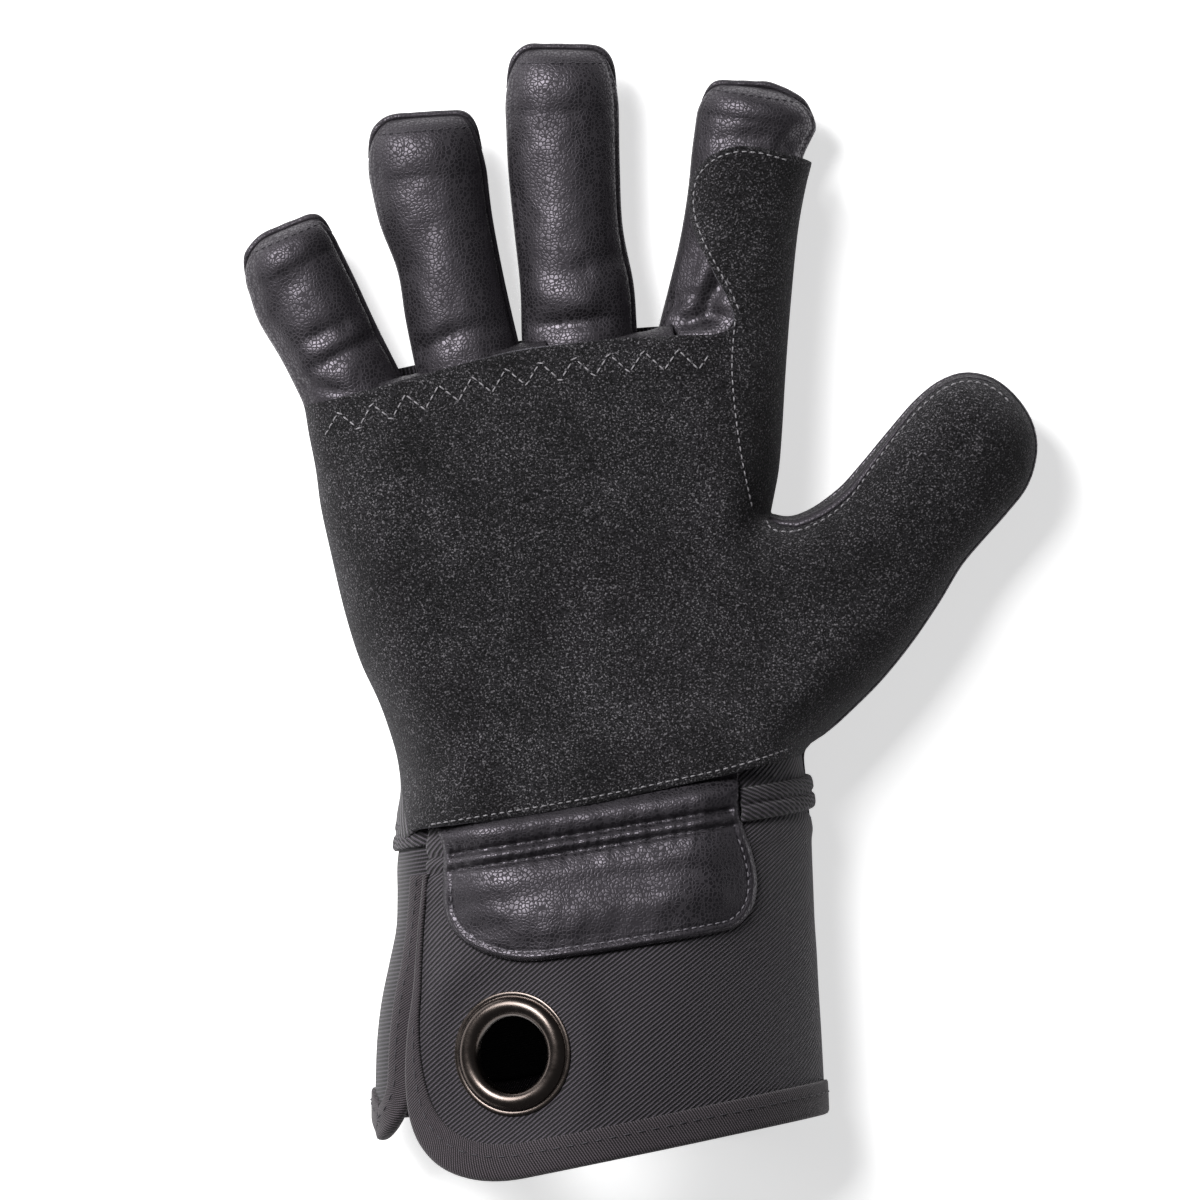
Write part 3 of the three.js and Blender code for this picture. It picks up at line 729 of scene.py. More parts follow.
def split_suede(name, colour):
    """Split cowhide, sueded by sanding: a matt nap of short fibres lying every way, seen
    as fine pale flecks, and soft clouds where a hand has brushed the nap over."""
    material, tree, skin = new_material(name)
    at = add(tree, "TexCoord").outputs["Object"]
    stretch = add(tree, "Mapping", {"Vector": at})
    stretch.inputs["Rotation"].default_value = (0, 0, 0.6)
    stretch.inputs["Scale"].default_value = (1.0, 1.4, 1.0)
    fibre = add(tree, "TexNoise", {"Vector": stretch.outputs[0]}, Scale=1500.0, Detail=3.0, Roughness=0.65)
    speck = add(tree, "TexNoise", {"Vector": at}, Scale=2100.0, Detail=1.0)
    cloud = add(tree, "TexNoise", {"Vector": at}, Scale=48.0, Detail=5.0, Roughness=0.55)
    base = linear(colour)
    light = linear("#858286")
    dark = tuple(c * 0.25 for c in base[:3]) + (1.0,)
    nap = add(tree, "ValToRGB", {"Fac": fibre.outputs["Fac"]})
    nap.color_ramp.elements[0].position = 0.43
    nap.color_ramp.elements[0].color = dark
    nap.color_ramp.elements[1].position = 0.58
    nap.color_ramp.elements[1].color = tuple(c * 1.7 for c in base[:3]) + (1.0,)
    flecks = add(tree, "MapRange", {"Value": speck.outputs["Fac"]}, From_Min=0.56, From_Max=0.74, To_Max=0.6)
    with_flecks = add(tree, "Mix", {0: flecks.outputs[0], 6: nap.outputs[0]}, data_type="RGBA")
    with_flecks.inputs[7].default_value = light
    clouds = add(tree, "MapRange", {"Value": cloud.outputs["Fac"]}, From_Min=0.35, From_Max=0.68, To_Min=0.6, To_Max=1.3)
    tone = add(tree, "VectorMath", {0: with_flecks.outputs[2], "Scale": clouds.outputs[0]}, operation="SCALE")
    bump = add(tree, "Bump", {"Height": fibre.outputs["Fac"]}, Strength=0.9, Distance=0.0006)
    tree.links.new(tone.outputs[0], skin.inputs["Base Color"])
    tree.links.new(bump.outputs[0], skin.inputs["Normal"])
    skin.inputs["Roughness"].default_value = 0.96
    skin.inputs["Specular IOR Level"].default_value = 0.2
    skin.inputs["Sheen Weight"].default_value = 0.1
    skin.inputs["Sheen Roughness"].default_value = 0.45
    skin.inputs["Sheen Tint"].default_value = linear("#c9c6cc")
    return material


def twill_cloth(name, colour, rib, turn, depth, cross=0.45, roughness=0.8):
    """Spun polyester twill: round yarns packed side by side give slanted ribs, each
    notched by the yarn that crosses it. The rib spacing is in mm along the piece's UV.
    The valleys between the ribs are coloured near black: painted shade."""
    material, tree, skin = new_material(name)
    at = add(tree, "TexCoord").outputs["UV"]
    turned = add(tree, "Mapping", {"Vector": at})
    turned.inputs["Rotation"].default_value = (0, 0, math.radians(turn))
    wobble = add(tree, "TexNoise", {"Vector": at}, Scale=0.9, Detail=2.0)
    bent = add(tree, "VectorMath", {0: wobble.outputs["Color"]}, operation="SCALE", Scale=0.22)
    where = add(tree, "VectorMath", {0: turned.outputs[0], 1: bent.outputs[0]}, operation="ADD")
    parts = add(tree, "SeparateXYZ", {0: where.outputs[0]})
    ribs = add(tree, "Math", {0: parts.outputs[1]}, operation="MULTIPLY")
    ribs.inputs[1].default_value = 2 * math.pi / rib
    wave = add(tree, "Math", {0: ribs.outputs[0]}, operation="SINE")
    yarn = add(tree, "Math", {0: parts.outputs[0]}, operation="MULTIPLY")
    yarn.inputs[1].default_value = 2 * math.pi / cross
    half = add(tree, "Math", {0: ribs.outputs[0], 1: yarn.outputs[0]}, operation="ADD")
    notch = add(tree, "Math", {0: half.outputs[0]}, operation="SINE")
    small = add(tree, "Math", {0: notch.outputs[0]}, operation="MULTIPLY")
    small.inputs[1].default_value = 0.35
    relief = add(tree, "Math", {0: wave.outputs[0], 1: small.outputs[0]}, operation="ADD")
    level = add(tree, "MapRange", {"Value": relief.outputs[0]}, From_Min=-1.3, From_Max=1.3)
    lint = add(tree, "TexNoise", {"Vector": at}, Scale=3.2, Detail=4.0, Roughness=0.7)
    base = linear(colour)
    # painted shade: the valleys between the ribs are coloured at 4% of the cloth's colour
    shade = add(tree, "ValToRGB", {"Fac": level.outputs[0]})
    shade.color_ramp.elements[0].position = 0.42
    shade.color_ramp.elements[0].color = tuple(c * 0.04 for c in base[:3]) + (1.0,)
    shade.color_ramp.elements[1].position = 0.86
    shade.color_ramp.elements[1].color = base
    dust = add(tree, "MapRange", {"Value": lint.outputs["Fac"]}, From_Min=0.3, From_Max=0.7, To_Min=0.72, To_Max=1.28)
    tone = add(tree, "VectorMath", {0: shade.outputs[0], "Scale": dust.outputs[0]}, operation="SCALE")
    bump = add(tree, "Bump", {"Height": level.outputs[0]}, Strength=0.8, Distance=depth * MM)
    tree.links.new(tone.outputs[0], skin.inputs["Base Color"])
    tree.links.new(bump.outputs[0], skin.inputs["Normal"])
    skin.inputs["Roughness"].default_value = roughness
    skin.inputs["Specular IOR Level"].default_value = 0.35
    skin.inputs["Sheen Weight"].default_value = 0.12
    skin.inputs["Sheen Roughness"].default_value = 0.5
    return material


def nickel(name, colour):
    """Brass, stamped and dark-nickel plated: a smooth smoky metal with faint handling
    haze."""
    material, tree, skin = new_material(name)
    at = add(tree, "TexCoord").outputs["Object"]
    haze = add(tree, "TexNoise", {"Vector": at}, Scale=190.0, Detail=5.0, Roughness=0.7)
    rough = add(tree, "MapRange", {"Value": haze.outputs["Fac"]}, From_Min=0.3, From_Max=0.7, To_Min=0.2, To_Max=0.34)
    grit = add(tree, "TexNoise", {"Vector": at}, Scale=1500.0, Detail=3.0)
    bump = add(tree, "Bump", {"Height": grit.outputs["Fac"]}, Strength=0.12, Distance=0.0001)
    skin.inputs["Base Color"].default_value = linear(colour)
    skin.inputs["Metallic"].default_value = 1.0
    tree.links.new(rough.outputs[0], skin.inputs["Roughness"])
    tree.links.new(bump.outputs[0], skin.inputs["Normal"])
    return material


def thread_cord(name, colour):
    """Twisted polyester sewing thread with a soft shine."""
    material, tree, skin = new_material(name)
    at = add(tree, "TexCoord").outputs["Object"]
    twist = add(tree, "TexNoise", {"Vector": at}, Scale=2400.0, Detail=2.0)
    base = linear(colour)
    shade = add(tree, "ValToRGB", {"Fac": twist.outputs["Fac"]})
    shade.color_ramp.elements[0].position = 0.3
    shade.color_ramp.elements[0].color = tuple(c * 0.45 for c in base[:3]) + (1.0,)
    shade.color_ramp.elements[1].position = 0.65
    shade.color_ramp.elements[1].color = base
    tree.links.new(shade.outputs[0], skin.inputs["Base Color"])
    skin.inputs["Roughness"].default_value = 0.6
    return material


# -------------------------------------------------------------------- pieces

SUEDE_TOP = through(
    plan((303, 405), (360, 392), (406, 379), (466, 363), (519, 351), (578, 343), (638, 337), (696, 335), (712, 335)), 0.8
)
FLAP_EDGE = through(
    plan(
        (712, 335), (727, 330), (734, 318), (729, 301), (713, 271), (697, 240),
        (689, 212), (689, 189), (694, 173), (710, 156), (733, 147), (756, 147),
        (782, 153), (811, 162),
    ),
    0.8,
)
SUEDE_BOTTOM = through(plan((805, 749), (743, 770), (679, 785), (583, 805), (500, 819), (428, 831)), 0.8)
SUEDE_SIDE = through(plan((425, 827), (400, 762), (378, 700), (346, 615)), 0.8)


def line_between(line, start, end):
    """The part of a line between the points nearest to two pixels."""
    a, b = (np.hypot(*(line - plan(q)[0]).T).argmin() for q in (start, end))
    return line[a : b + 1] if a <= b else line[b : a + 1][::-1]


def suede_outline():
    return np.concatenate(
        [
            SUEDE_TOP,
            FLAP_EDGE[1:],
            line_between(RIGHT_LINE, (812, 163), (806, 750)),
            SUEDE_BOTTOM,
            SUEDE_SIDE,
            line_between(LEFT_LINE, (345, 615), (303, 405)),
        ]
    )


# Fingers: each row is a section, its left and right side in pixels, from the root
# to where the tip begins to round. The tip row is the flat end of the tip seam.
STALLS = {
    "little_finger_stall": (
        table(
            "lx ly rx ry",
            (322, 446, 424, 420), (303, 404, 404, 380), (281, 360, 375, 322),
            (257, 319, 355, 279),
        ),
        ((248, 292), (338, 244)),
        ((266, 231), (310, 213)),
    ),
    "ring_finger_stall": (
        table(
            "lx ly rx ry",
            (424, 412, 532, 396), (416, 373, 521, 352), (405, 319, 508, 296),
            (397, 271, 500, 258), (379, 223, 492, 214),
        ),
        ((369, 180), (487, 172)),
        ((390, 114), (462, 109)),
    ),
    "middle_finger_stall": (
        table(
            "lx ly rx ry",
            (527, 384, 644, 374), (522, 345, 638, 338), (520, 287, 634, 285),
            (514, 230, 623, 227), (508, 170, 620, 167),
        ),
        ((505, 112), (619, 110)),
        ((528, 43), (597, 44)),
    ),
    "index_finger_stall": (
        table(
            "lx ly rx ry",
            (650, 374, 784, 372), (657, 335, 784, 334), (668, 290, 786, 290),
            (680, 239, 789, 238), (688, 190, 797, 192), (692, 150, 803, 158),
        ),
        ((697, 112), (816, 130)),
        ((722, 79), (771, 82)),
    ),
}
STALL_LOW, STALL_TOP, STALL_SEAM = 0.6, 25.2, 16.5
STALL_COLUMNS = 112

STALL_FOLDS = table(
    "x y turn long wide deep",
    (345, 352, 28, 14, 2.0, 1.1), (330, 330, 24, 10, 2.2, 0.8), (318, 388, -10, 10, 1.6, 0.7),
    (282, 300, 60, 10, 3.0, 0.5), (430, 345, 20, 10, 2.2, 0.9), (470, 330, 12, 12, 2.4, 0.7),
    (420, 250, 70, 12, 3.2, 0.5), (575, 322, 6, 15, 2.2, 1.3), (560, 296, -8, 14, 3.6, -0.9),
    (600, 262, 20, 10, 2.5, 0.6), (535, 200, 80, 14, 3.0, 0.4), (700, 318, 8, 9, 2.4, 2.4),
    (712, 292, 55, 9, 3.2, 3.2), (694, 262, 68, 9, 2.6, 0.9), (676, 300, 30, 7, 2.0, 1.0),
    (742, 138, 4, 12, 2.4, 0.8), (795, 140, 30, 6, 2.2, 1.0),
)


def stall_surface(rows, shoulder, tip):
    """A finger as a grid. Each row is a rounded section between two side points; from the
    shoulder on the rows turn a quarter circle to the tip seam, where front and back meet
    in a line: the way along goes as sin, the way in as 1 - cos, the thickness as cos."""
    left = through(plan(*zip(rows["lx"], rows["ly"]), shoulder[0]), 0.8)
    right = through(plan(*zip(rows["rx"], rows["ry"]), shoulder[1]), 0.8)
    count = max(len(left), len(right))
    left, right = resampled(left, count), resampled(right, count)
    turn = np.linspace(0, math.pi / 2, 26)[1:]
    l1, r1, (l2, r2) = left[-1], right[-1], plan(*tip)
    axis = unit((left[-1] + right[-1] - left[-12] - right[-12])[None])[0]

    def rounded(a, b):
        step = b - a
        along = step @ axis - 1.1
        aside = step - (step @ axis) * axis
        aside *= 1 + 0.8 / max(np.linalg.norm(aside), 1e-6)
        return a + np.sin(turn)[:, None] * along * axis + (1 - np.cos(turn))[:, None] * aside

    left = np.concatenate([left, rounded(l1, l2)])
    right = np.concatenate([right, rounded(r1, r2)])
    thick = np.r_[np.ones(count), np.cos(turn)]
    lean = np.r_[np.zeros(count), np.sin(turn)]
    a = np.linspace(0, 2 * math.pi, STALL_COLUMNS + 1)[:-1]
    c, s = np.cos(a), np.sin(a)
    wide = np.sign(c) * np.abs(c) ** 0.95
    high = np.sign(s) * np.abs(s) ** 0.95
    middle = (left + right) / 2
    half = (right - left) / 2
    xy = middle[:, None] + half[:, None] * wide[None, :, None]
    level = (STALL_TOP + STALL_LOW) / 2
    deep = (STALL_TOP - STALL_LOW) / 2
    bow = 1 - (middle - middle[0]) @ axis / 900
    z = level + (STALL_SEAM - level) * lean[:, None] + deep * (bow * thick)[:, None] * high[None]
    z = np.maximum(z, STALL_LOW)
    return np.concatenate([xy, z[..., None]], axis=-1), a, count


def make_stall(name, material, wall):
    rows, shoulder, tip = STALLS[name]
    grid, a, count = stall_surface(rows, shoulder, tip)
    flat = grid[..., :2].reshape(-1, 2)
    front = soft(np.sin(a) * 1.6)[None] * np.ones((len(grid), 1))
    sink = creases(flat, STALL_FOLDS).reshape(front.shape) * front
    waves = (0.16 * ripple(flat, 21, 15) + 0.07 * ripple(flat, 22, 6)).reshape(front.shape)
    fade = np.r_[np.ones(count), np.cos(np.linspace(0, math.pi / 2, 26)[1:])][:, None]
    seam = 0.0
    for side in (0.34, math.pi - 0.34):
        off = (a - side + math.pi) % (2 * math.pi) - math.pi
        seam = seam + 0.5 * np.exp(-((off * 13 / 0.75) ** 2)) - 0.3 * np.exp(-(((off * 13 + 1.4) / 0.9) ** 2))
    out = unit(np.cross(np.gradient(grid, axis=0), np.gradient(grid, axis=1)))
    if out[len(out) // 2, STALL_COLUMNS // 4, 2] < 0:
        out = -out
    push = (waves * front - sink - seam[None]) * fade
    grid = grid + out * push[..., None]
    grid[..., 2] = np.maximum(grid[..., 2], STALL_LOW)
    along = np.r_[0, np.cumsum(np.linalg.norm(np.diff(grid[:, 28], axis=0), axis=1))]
    uv = np.stack(np.meshgrid(a * 13, along), -1)
    piece = grid_piece(name + "_leather", grid, uv, wall=0.0, closed=True)
    weld(piece)
    solid = piece.modifiers.new("wall", "SOLIDIFY")
    solid.thickness = wall * MM
    solid.offset = -1
    finished(piece.name, material, [name])
    return grid, out, count


def tip_path(grid, row, first, last):
    """The line across a finger's tip at one row of its rounded end."""
    return grid[row, first:last]


def make_lip(name, grid, out, count, leather):
    """The tip seam's lip: a round cord of leather along the very end of the finger, with
    its ends running out along both sides."""
    quarter = STALL_COLUMNS // 4
    start = count + 5
    right = grid[start:, 0]
    left = grid[start:, 2 * quarter][::-1]
    across = grid[-1, : 2 * quarter + 1]
    path = np.concatenate([right, across[1:-1], left])
    middle = grid[count - 8].mean(axis=0)
    path = resampled(path, 90)
    padded = np.concatenate([path[:1].repeat(4, 0), path, path[-1:].repeat(4, 0)])
    path = np.stack([np.convolve(c, np.ones(9) / 9, "valid") for c in padded.T], 1)
    away = unit(path - middle)
    up = np.tile([0, 0, 1.0], (len(path), 1))
    t = np.linspace(0, 1, len(path))
    taper = soft(t / 0.2) * soft((1 - t) / 0.2)
    push = away * (0.6 * taper - 0.1)[:, None]
    ang = np.linspace(0, 2 * math.pi, 13)[:-1]
    profile = np.stack([0.85 * np.cos(ang), 1.1 * np.sin(ang)], -1)
    wobble = 1 + 0.06 * ripple(path[:, :2], 31, 5)
    piece = closed_sweep(name + "_lip", path + push, up, profile, (0.3 + 0.7 * taper) * wobble)
    finished(piece.name, leather, [])


def cuff_sheets(twill, ribbed, shade_lining, wall):
    """The cuff's front panel from its free edge to the right side, and its back panel from
    there round to the flap's edge."""
    hole_x, hole_y = EYELET_AT[0], EYELET_AT[1]
    for name, start, material, nodes, count in (
        ("cuff_front_cloth", True, twill, ["cuff_panel"], 170),
        ("cuff_back_cloth", False, ribbed, [], 190),
    ):
        u = np.linspace(0, 1, count)
        t = np.linspace(0, 1, 118)
        side = float(cuff_side(40.0))
        f = u * side if start else side + u * (1 - side)
        b = CUFF_FIRST + (hem(f)[None] - CUFF_FIRST) * t[:, None]
        ff = np.broadcast_to(f, b.shape)
        lift = tucks(b) * 0.55 * (soft((b + 6) / 4) * soft((12 - b) / 4)) if start else 0 * b
        points = cuff_at(ff, b, lift)
        uv = np.stack([(ff - side) * cuff_length(b), -b], -1)
        keep = np.ones(points.shape[:2], bool)
        if start:
            keep = np.hypot(points[..., 0] - hole_x, points[..., 1] - hole_y) > 11.6
        faces = quads(*points.shape[:2])
        faces = faces[keep.ravel()[faces].all(axis=1)][:, ::-1]
        used = np.unique(faces)
        index = np.zeros(points.shape[0] * points.shape[1], int)
        index[used] = np.arange(len(used))
        piece = mesh_object(name, points.reshape(-1, 3)[used], index[faces], uv.reshape(-1, 2)[used], wall, 1)
        finished(name, material, nodes)
        # the wall's inner faces take the near-black inside cloth: painted shade inside the cuff
        piece.data.materials.append(shade_lining)


def tucks(b):
    """The wrist's elastic tucks by mm down: two sewn grooves with full ridges beside them."""
    groove = lambda at, wide: np.exp(-(((b - at) / wide) ** 2))
    return (
        1.5 * groove(-3.9, 2.9)
        - 1.5 * groove(0, 0.6)
        + 0.8 * groove(2.05, 0.9)
        - 1.3 * groove(4.1, 0.6)
        + 0.8 * groove(8.6, 3.6)
    )


PULSE_EDGE = through(
    plan(
        (444, 850), (443, 880), (443, 899), (447, 919), (458, 936), (481, 951), (519, 960),
        (583, 954), (647, 944), (711, 933), (736, 926), (752, 908), (757, 883),
        (752, 852), (742, 823), (738, 800),
    ),
    0.8,
)
PULSE_TOP = through(plan((738, 765), (679, 780), (583, 799), (500, 813), (436, 826)), 0.8)


def pulse_front(p):
    """The leather over the wrist: on the cuff's front, fuller inside its stitched edge,
    drawn in by the tucks and puckered beside them."""
    b = cuff_down(p)
    edge, _ = nearest(p, PULSE_EDGE)
    welt = 0.8 * roll(edge / 1.4) + 0.5 * np.exp(-(((edge - 1.1) / 0.8) ** 2))
    stitch = 0.45 * np.exp(-(((edge - 2.2) / 0.5) ** 2))
    full = 1.5 * soft((edge - 2.4) / 9)
    near = np.exp(-((b / 2.2) ** 2)) + np.exp(-(((b - 4.1) / 2.2) ** 2))
    pucker = 0.14 * np.sin(p[:, 0] * 2 * math.pi / 3.1 + 2.2 * ripple(p, 41, 9)) * near
    fine = 0.12 * ripple(p, 42, 6) * (1 + near)
    under = 1.6 * soft((-5.0 - b) / 3)
    return cuff_front(p) + 0.9 + welt - stitch + full + tucks(b) * soft(edge / 3) + pucker + fine - under


def eyelet_profile():
    """The eyelet's section, distance from the axis and height: barrel, domed and rolled
    ring, flat flange, and back under it to the barrel."""
    dome = np.linspace(math.pi, 0.12, 26)
    ring_r = 11.85 + 2.45 * np.cos(dome)
    ring_z = -0.35 + 2.3 * np.sin(dome)
    return np.array(
        [(9.4, -2.0), (9.4, -0.9)]
        + list(zip(ring_r, ring_z))
        + [(14.45, 0.02), (14.9, 0.05), (15.35, 0.02), (15.5, -0.15), (15.35, -0.32), (14.4, -0.36), (10.3, -0.36), (10.2, -0.8), (10.2, -2.0), (9.8, -2.15)]
    )


def lathed(name, profile, at, axis, count=128):
    """A closed profile turned about an axis through a point."""
    side = unit(np.cross([0, 1.0, 0], axis)[None])[0]
    other = np.cross(axis, side)
    a = np.linspace(0, 2 * math.pi, count + 1)[:-1]
    spoke = np.cos(a)[:, None] * side + np.sin(a)[:, None] * other
    points = at + profile[None, :, :1] * spoke[:, None] + profile[None, :, 1:] * axis
    points = np.concatenate([points, points[:1]])
    piece = grid_piece(name, points, closed=True)
    weld(piece, 1e-6)
    return piece


def binding_path():
    """The cuff's free edge as shares round and mm down: down the front edge, round its
    corner, along the hem, round the flap's corner and up the flap."""
    f_front = np.full(60, 0.0)
    b_front = np.linspace(4.0, HEM_DOWN - CORNER_DEEP, 60)
    length = cuff_length(75.0)
    a = np.linspace(0, math.pi / 2, 24)[1:]
    f_corner = (CORNER - CORNER * np.cos(a)) / length
    b_corner = HEM_DOWN - CORNER_DEEP + CORNER_DEEP * np.sin(a)
    f_hem = np.linspace(CORNER / length, 1 - FLAP_CORNER / length, 260)[1:]
    b_hem = hem(f_hem)
    g = a[::-1][1:]
    f_flap = 1 - (FLAP_CORNER - FLAP_CORNER * np.cos(g)) / length
    b_flap = FLAP_DOWN - FLAP_CORNER + FLAP_CORNER * np.sin(g)
    b_up = np.linspace(FLAP_DOWN - FLAP_CORNER, 4.0, 60)
    f = np.r_[f_front, f_corner, f_hem, f_flap, np.full(60, 1.0)]
    b = np.r_[b_front, b_corner, b_hem, b_flap, b_up]
    return f, b


BINDING = table("down share", (0, 0.16), (20, 0.18), (34, 0.3), (44, 0.5), (52, 0.7), (60, 0.9), (68, 1.0), (90, 1.0))


def make_binding(width, material):
    """A woven tape folded over the cuff's edge: its section is a thin U, with one leg on
    the outside and one on the inside, carried along the edge."""
    f, b = binding_path()
    length = cuff_length(75.0)
    s = np.stack([f * length, b], 1)
    s = resampled(s, 420)
    way = unit(np.gradient(s, axis=0))
    inward = np.stack([way[:, 1], -way[:, 0]], 1)
    share = column(BINDING, "down", "share", s[:, 1])
    half = len(s) // 2
    share[half:] = 0.92
    wide = width * share
    leg = np.array([(1, 0.1), (1, 0.75), (0.93, 1.0), (0.6, 1.05), (0.3, 1.05), (0.12, 1.05)])
    fold = np.array([(0.2, 1.05), (-0.5, 0.75), (-0.85, 0.1), (-0.95, -0.7), (-0.85, -1.5), (-0.5, -2.15), (0.2, -2.45)])
    under = leg[::-1] * (1, -1) + (0, -1.4)
    inner = np.array([(0.3, -1.5), (-0.15, -0.7), (0.3, 0.1)])
    e = np.concatenate(
        [
            leg[None, :, 0] * wide[:, None],
            np.tile(fold[:, 0], (len(s), 1)),
            under[None, :, 0] * wide[:, None],
            np.tile(inner[:, 0], (len(s), 1)),
        ],
        axis=1,
    )
    h = np.concatenate([leg[:, 1], fold[:, 1], under[:, 1], inner[:, 1]])
    f2 = (s[:, :1] + inward[:, :1] * e) / length
    b2 = s[:, 1:] + inward[:, 1:] * e
    points = cuff_at(f2, b2, np.broadcast_to(h, e.shape))
    along = np.r_[0, np.cumsum(np.linalg.norm(np.diff(points[:, 5], axis=0), axis=1))]
    uv = np.stack([e, np.repeat(along[:, None], e.shape[1], 1)], -1)
    ends = [np.repeat(points[k].mean(axis=0)[None, None], points.shape[1], 1) for k in (0, -1)]
    points = np.concatenate([ends[0], points, ends[1]])
    uv = np.concatenate([uv[:1], uv, uv[-1:]])
    piece = grid_piece("cuff_binding_tape", points, uv, closed=True)
    weld(piece)
    finished(piece.name, material, ["cuff_binding"])
    mid = cuff_at((s[:, 0] + inward[:, 0] * wide * 0.62) / length, s[:, 1] + inward[:, 1] * wide * 0.62, np.full(len(s), 1.0))
    out = unit(mid - cuff_at((s[:, 0] + inward[:, 0] * wide * 0.62) / length, s[:, 1] + inward[:, 1] * wide * 0.62, np.zeros(len(s))))
    return mid, out, wide


def inset(line, distance):
    """A plan line moved to its right by a distance, which may change along it."""
    way = unit(np.gradient(line, axis=0))
    return line + np.column_stack([way[:, 1], -way[:, 0]]) * np.reshape(distance, (-1, 1))


def zigzag_line():
    """The three-step zigzag under the palm's top edge: a triangle wave of 8.6 mm and
    5 mm high, its middle 6.2 mm below the edge."""
    edge = line_between(SUEDE_TOP, (320, 401), (704, 335))
    s = np.r_[0, np.cumsum(np.linalg.norm(np.diff(edge, axis=0), axis=1))]
    t = np.arange(0, s[-1], 0.1)
    edge = np.stack([np.interp(t, s, c) for c in edge.T], axis=1)
    wave = np.abs((t / 8.6) % 1 * 2 - 1) * 2 - 1
    return edge + (6.2 + 2.5 * wave)[:, None] * DOWN_HAND


def thumb_inner(first=3.0, last=0.9):
    """The inner border of the thumb's glossy strip: its width falls from the crotch on."""
    side = line_between(THUMB_SIDE, (771, 513), (1016, 398))
    t = np.linspace(0, 1, len(side))
    return inset(side, last + (first - last) * soft((0.5 - t) / 0.42) * soft(t / 0.03 + 0.3))


# ------------------------------------------------------------ the user's settings


class GloveSizes(bpy.types.PropertyGroup):
    net: bpy.props.FloatProperty(name="Net", description="Spacing of the points of the flat-cut sheets, in mm", default=0.9, min=0.6, max=3)
    leather: bpy.props.FloatProperty(name="Leather", description="Thickness of the grain leather, in mm", default=1.1, min=0.6, max=2)
    suede: bpy.props.FloatProperty(name="Suede", description="Thickness of the suede, in mm", default=1.4, min=0.8, max=2.5)
    cloth: bpy.props.FloatProperty(name="Cloth", description="Thickness of the cuff's cloth, in mm", default=1.4, min=0.5, max=2)
    tape: bpy.props.FloatProperty(name="Tape", description="Width of the folded binding on one side, in mm", default=7.6, min=4, max=12)
    stitch: bpy.props.FloatProperty(name="Stitch", description="Length of one stitch, in mm", default=1.4, min=0.8, max=5)
    thread: bpy.props.FloatProperty(name="Thread", description="Thickness of the sewing thread, in mm", default=0.45, min=0.2, max=1)


def colour_setting(name, what, code):
    return bpy.props.StringProperty(name=name, description="sRGB hex colour of " + what, default=code)


class GloveColours(bpy.types.PropertyGroup):
    leather: colour_setting("Leather", "the grain leather", "#0b0a0c")
    suede: colour_setting("Suede", "the suede", "#1b1a1c")
    edge: colour_setting("Cut edge", "the suede's cut edge", "#4c4a50")
    twill: colour_setting("Twill", "the cuff's twill", "#524c54")
    back: colour_setting("Back", "the ribbed back of the hand", "#4a454c")
    # painted shade: the cuff's inside is near black so that the hole of the eyelet shows dark
    shade_lining: colour_setting("Lining", "the cuff's inside", "#0d0c0e")
    tape: colour_setting("Tape", "the binding tape", "#524a50")
    thread: colour_setting("Thread", "the thread on suede", "#8f8c90")
    dark_thread: colour_setting("Dark thread", "the thread on leather and tape", "#37343a")
    # lighter than the dark thread: a painted highlight standing in for the glints on the pulse patch's stitches
    welt_thread: colour_setting("Welt thread", "the thread round the pulse patch", "#6f6b72")
    metal: colour_setting("Metal", "the eyelet", "#5a524e")


def kept(name, make, *values, **settings):
    """A material made once, found by its name after that."""
    return bpy.data.materials.get(name) or make(name, *values, **settings)


def leather_of(c):
    return kept("goat_nappa_glazed", goat_leather, c.leather)


def suede_of(c):
    return kept("cow_split_sueded", split_suede, c.suede)


def cut_edge_of(c):
    return kept("cow_split_cut_edge", split_suede, c.edge)


def twill_of(c):
    return kept("polyester_twill_woven", twill_cloth, c.twill, rib=0.98, turn=-31, depth=0.42)


def ribbed_of(c):
    return kept("polyester_rib_woven", twill_cloth, c.back, rib=0.95, turn=0, depth=0.3, cross=0.5)


def shade_lining_of(c):
    return kept("polyester_lining_woven", twill_cloth, c.shade_lining, rib=0.6, turn=0, depth=0.1)


def knit_of(c):
    return kept("stretch_rib_knit", twill_cloth, c.back, rib=1.0, turn=78, depth=0.3, cross=0.7)


def tape_of(c):
    return kept("cotton_tape_woven", twill_cloth, c.tape, rib=0.6, turn=32, depth=0.12, cross=0.6, roughness=0.88)


def thread_of(c):
    return kept("polyester_thread_grey", thread_cord, c.thread)


def dark_thread_of(c):
    return kept("polyester_thread_dark", thread_cord, c.dark_thread)


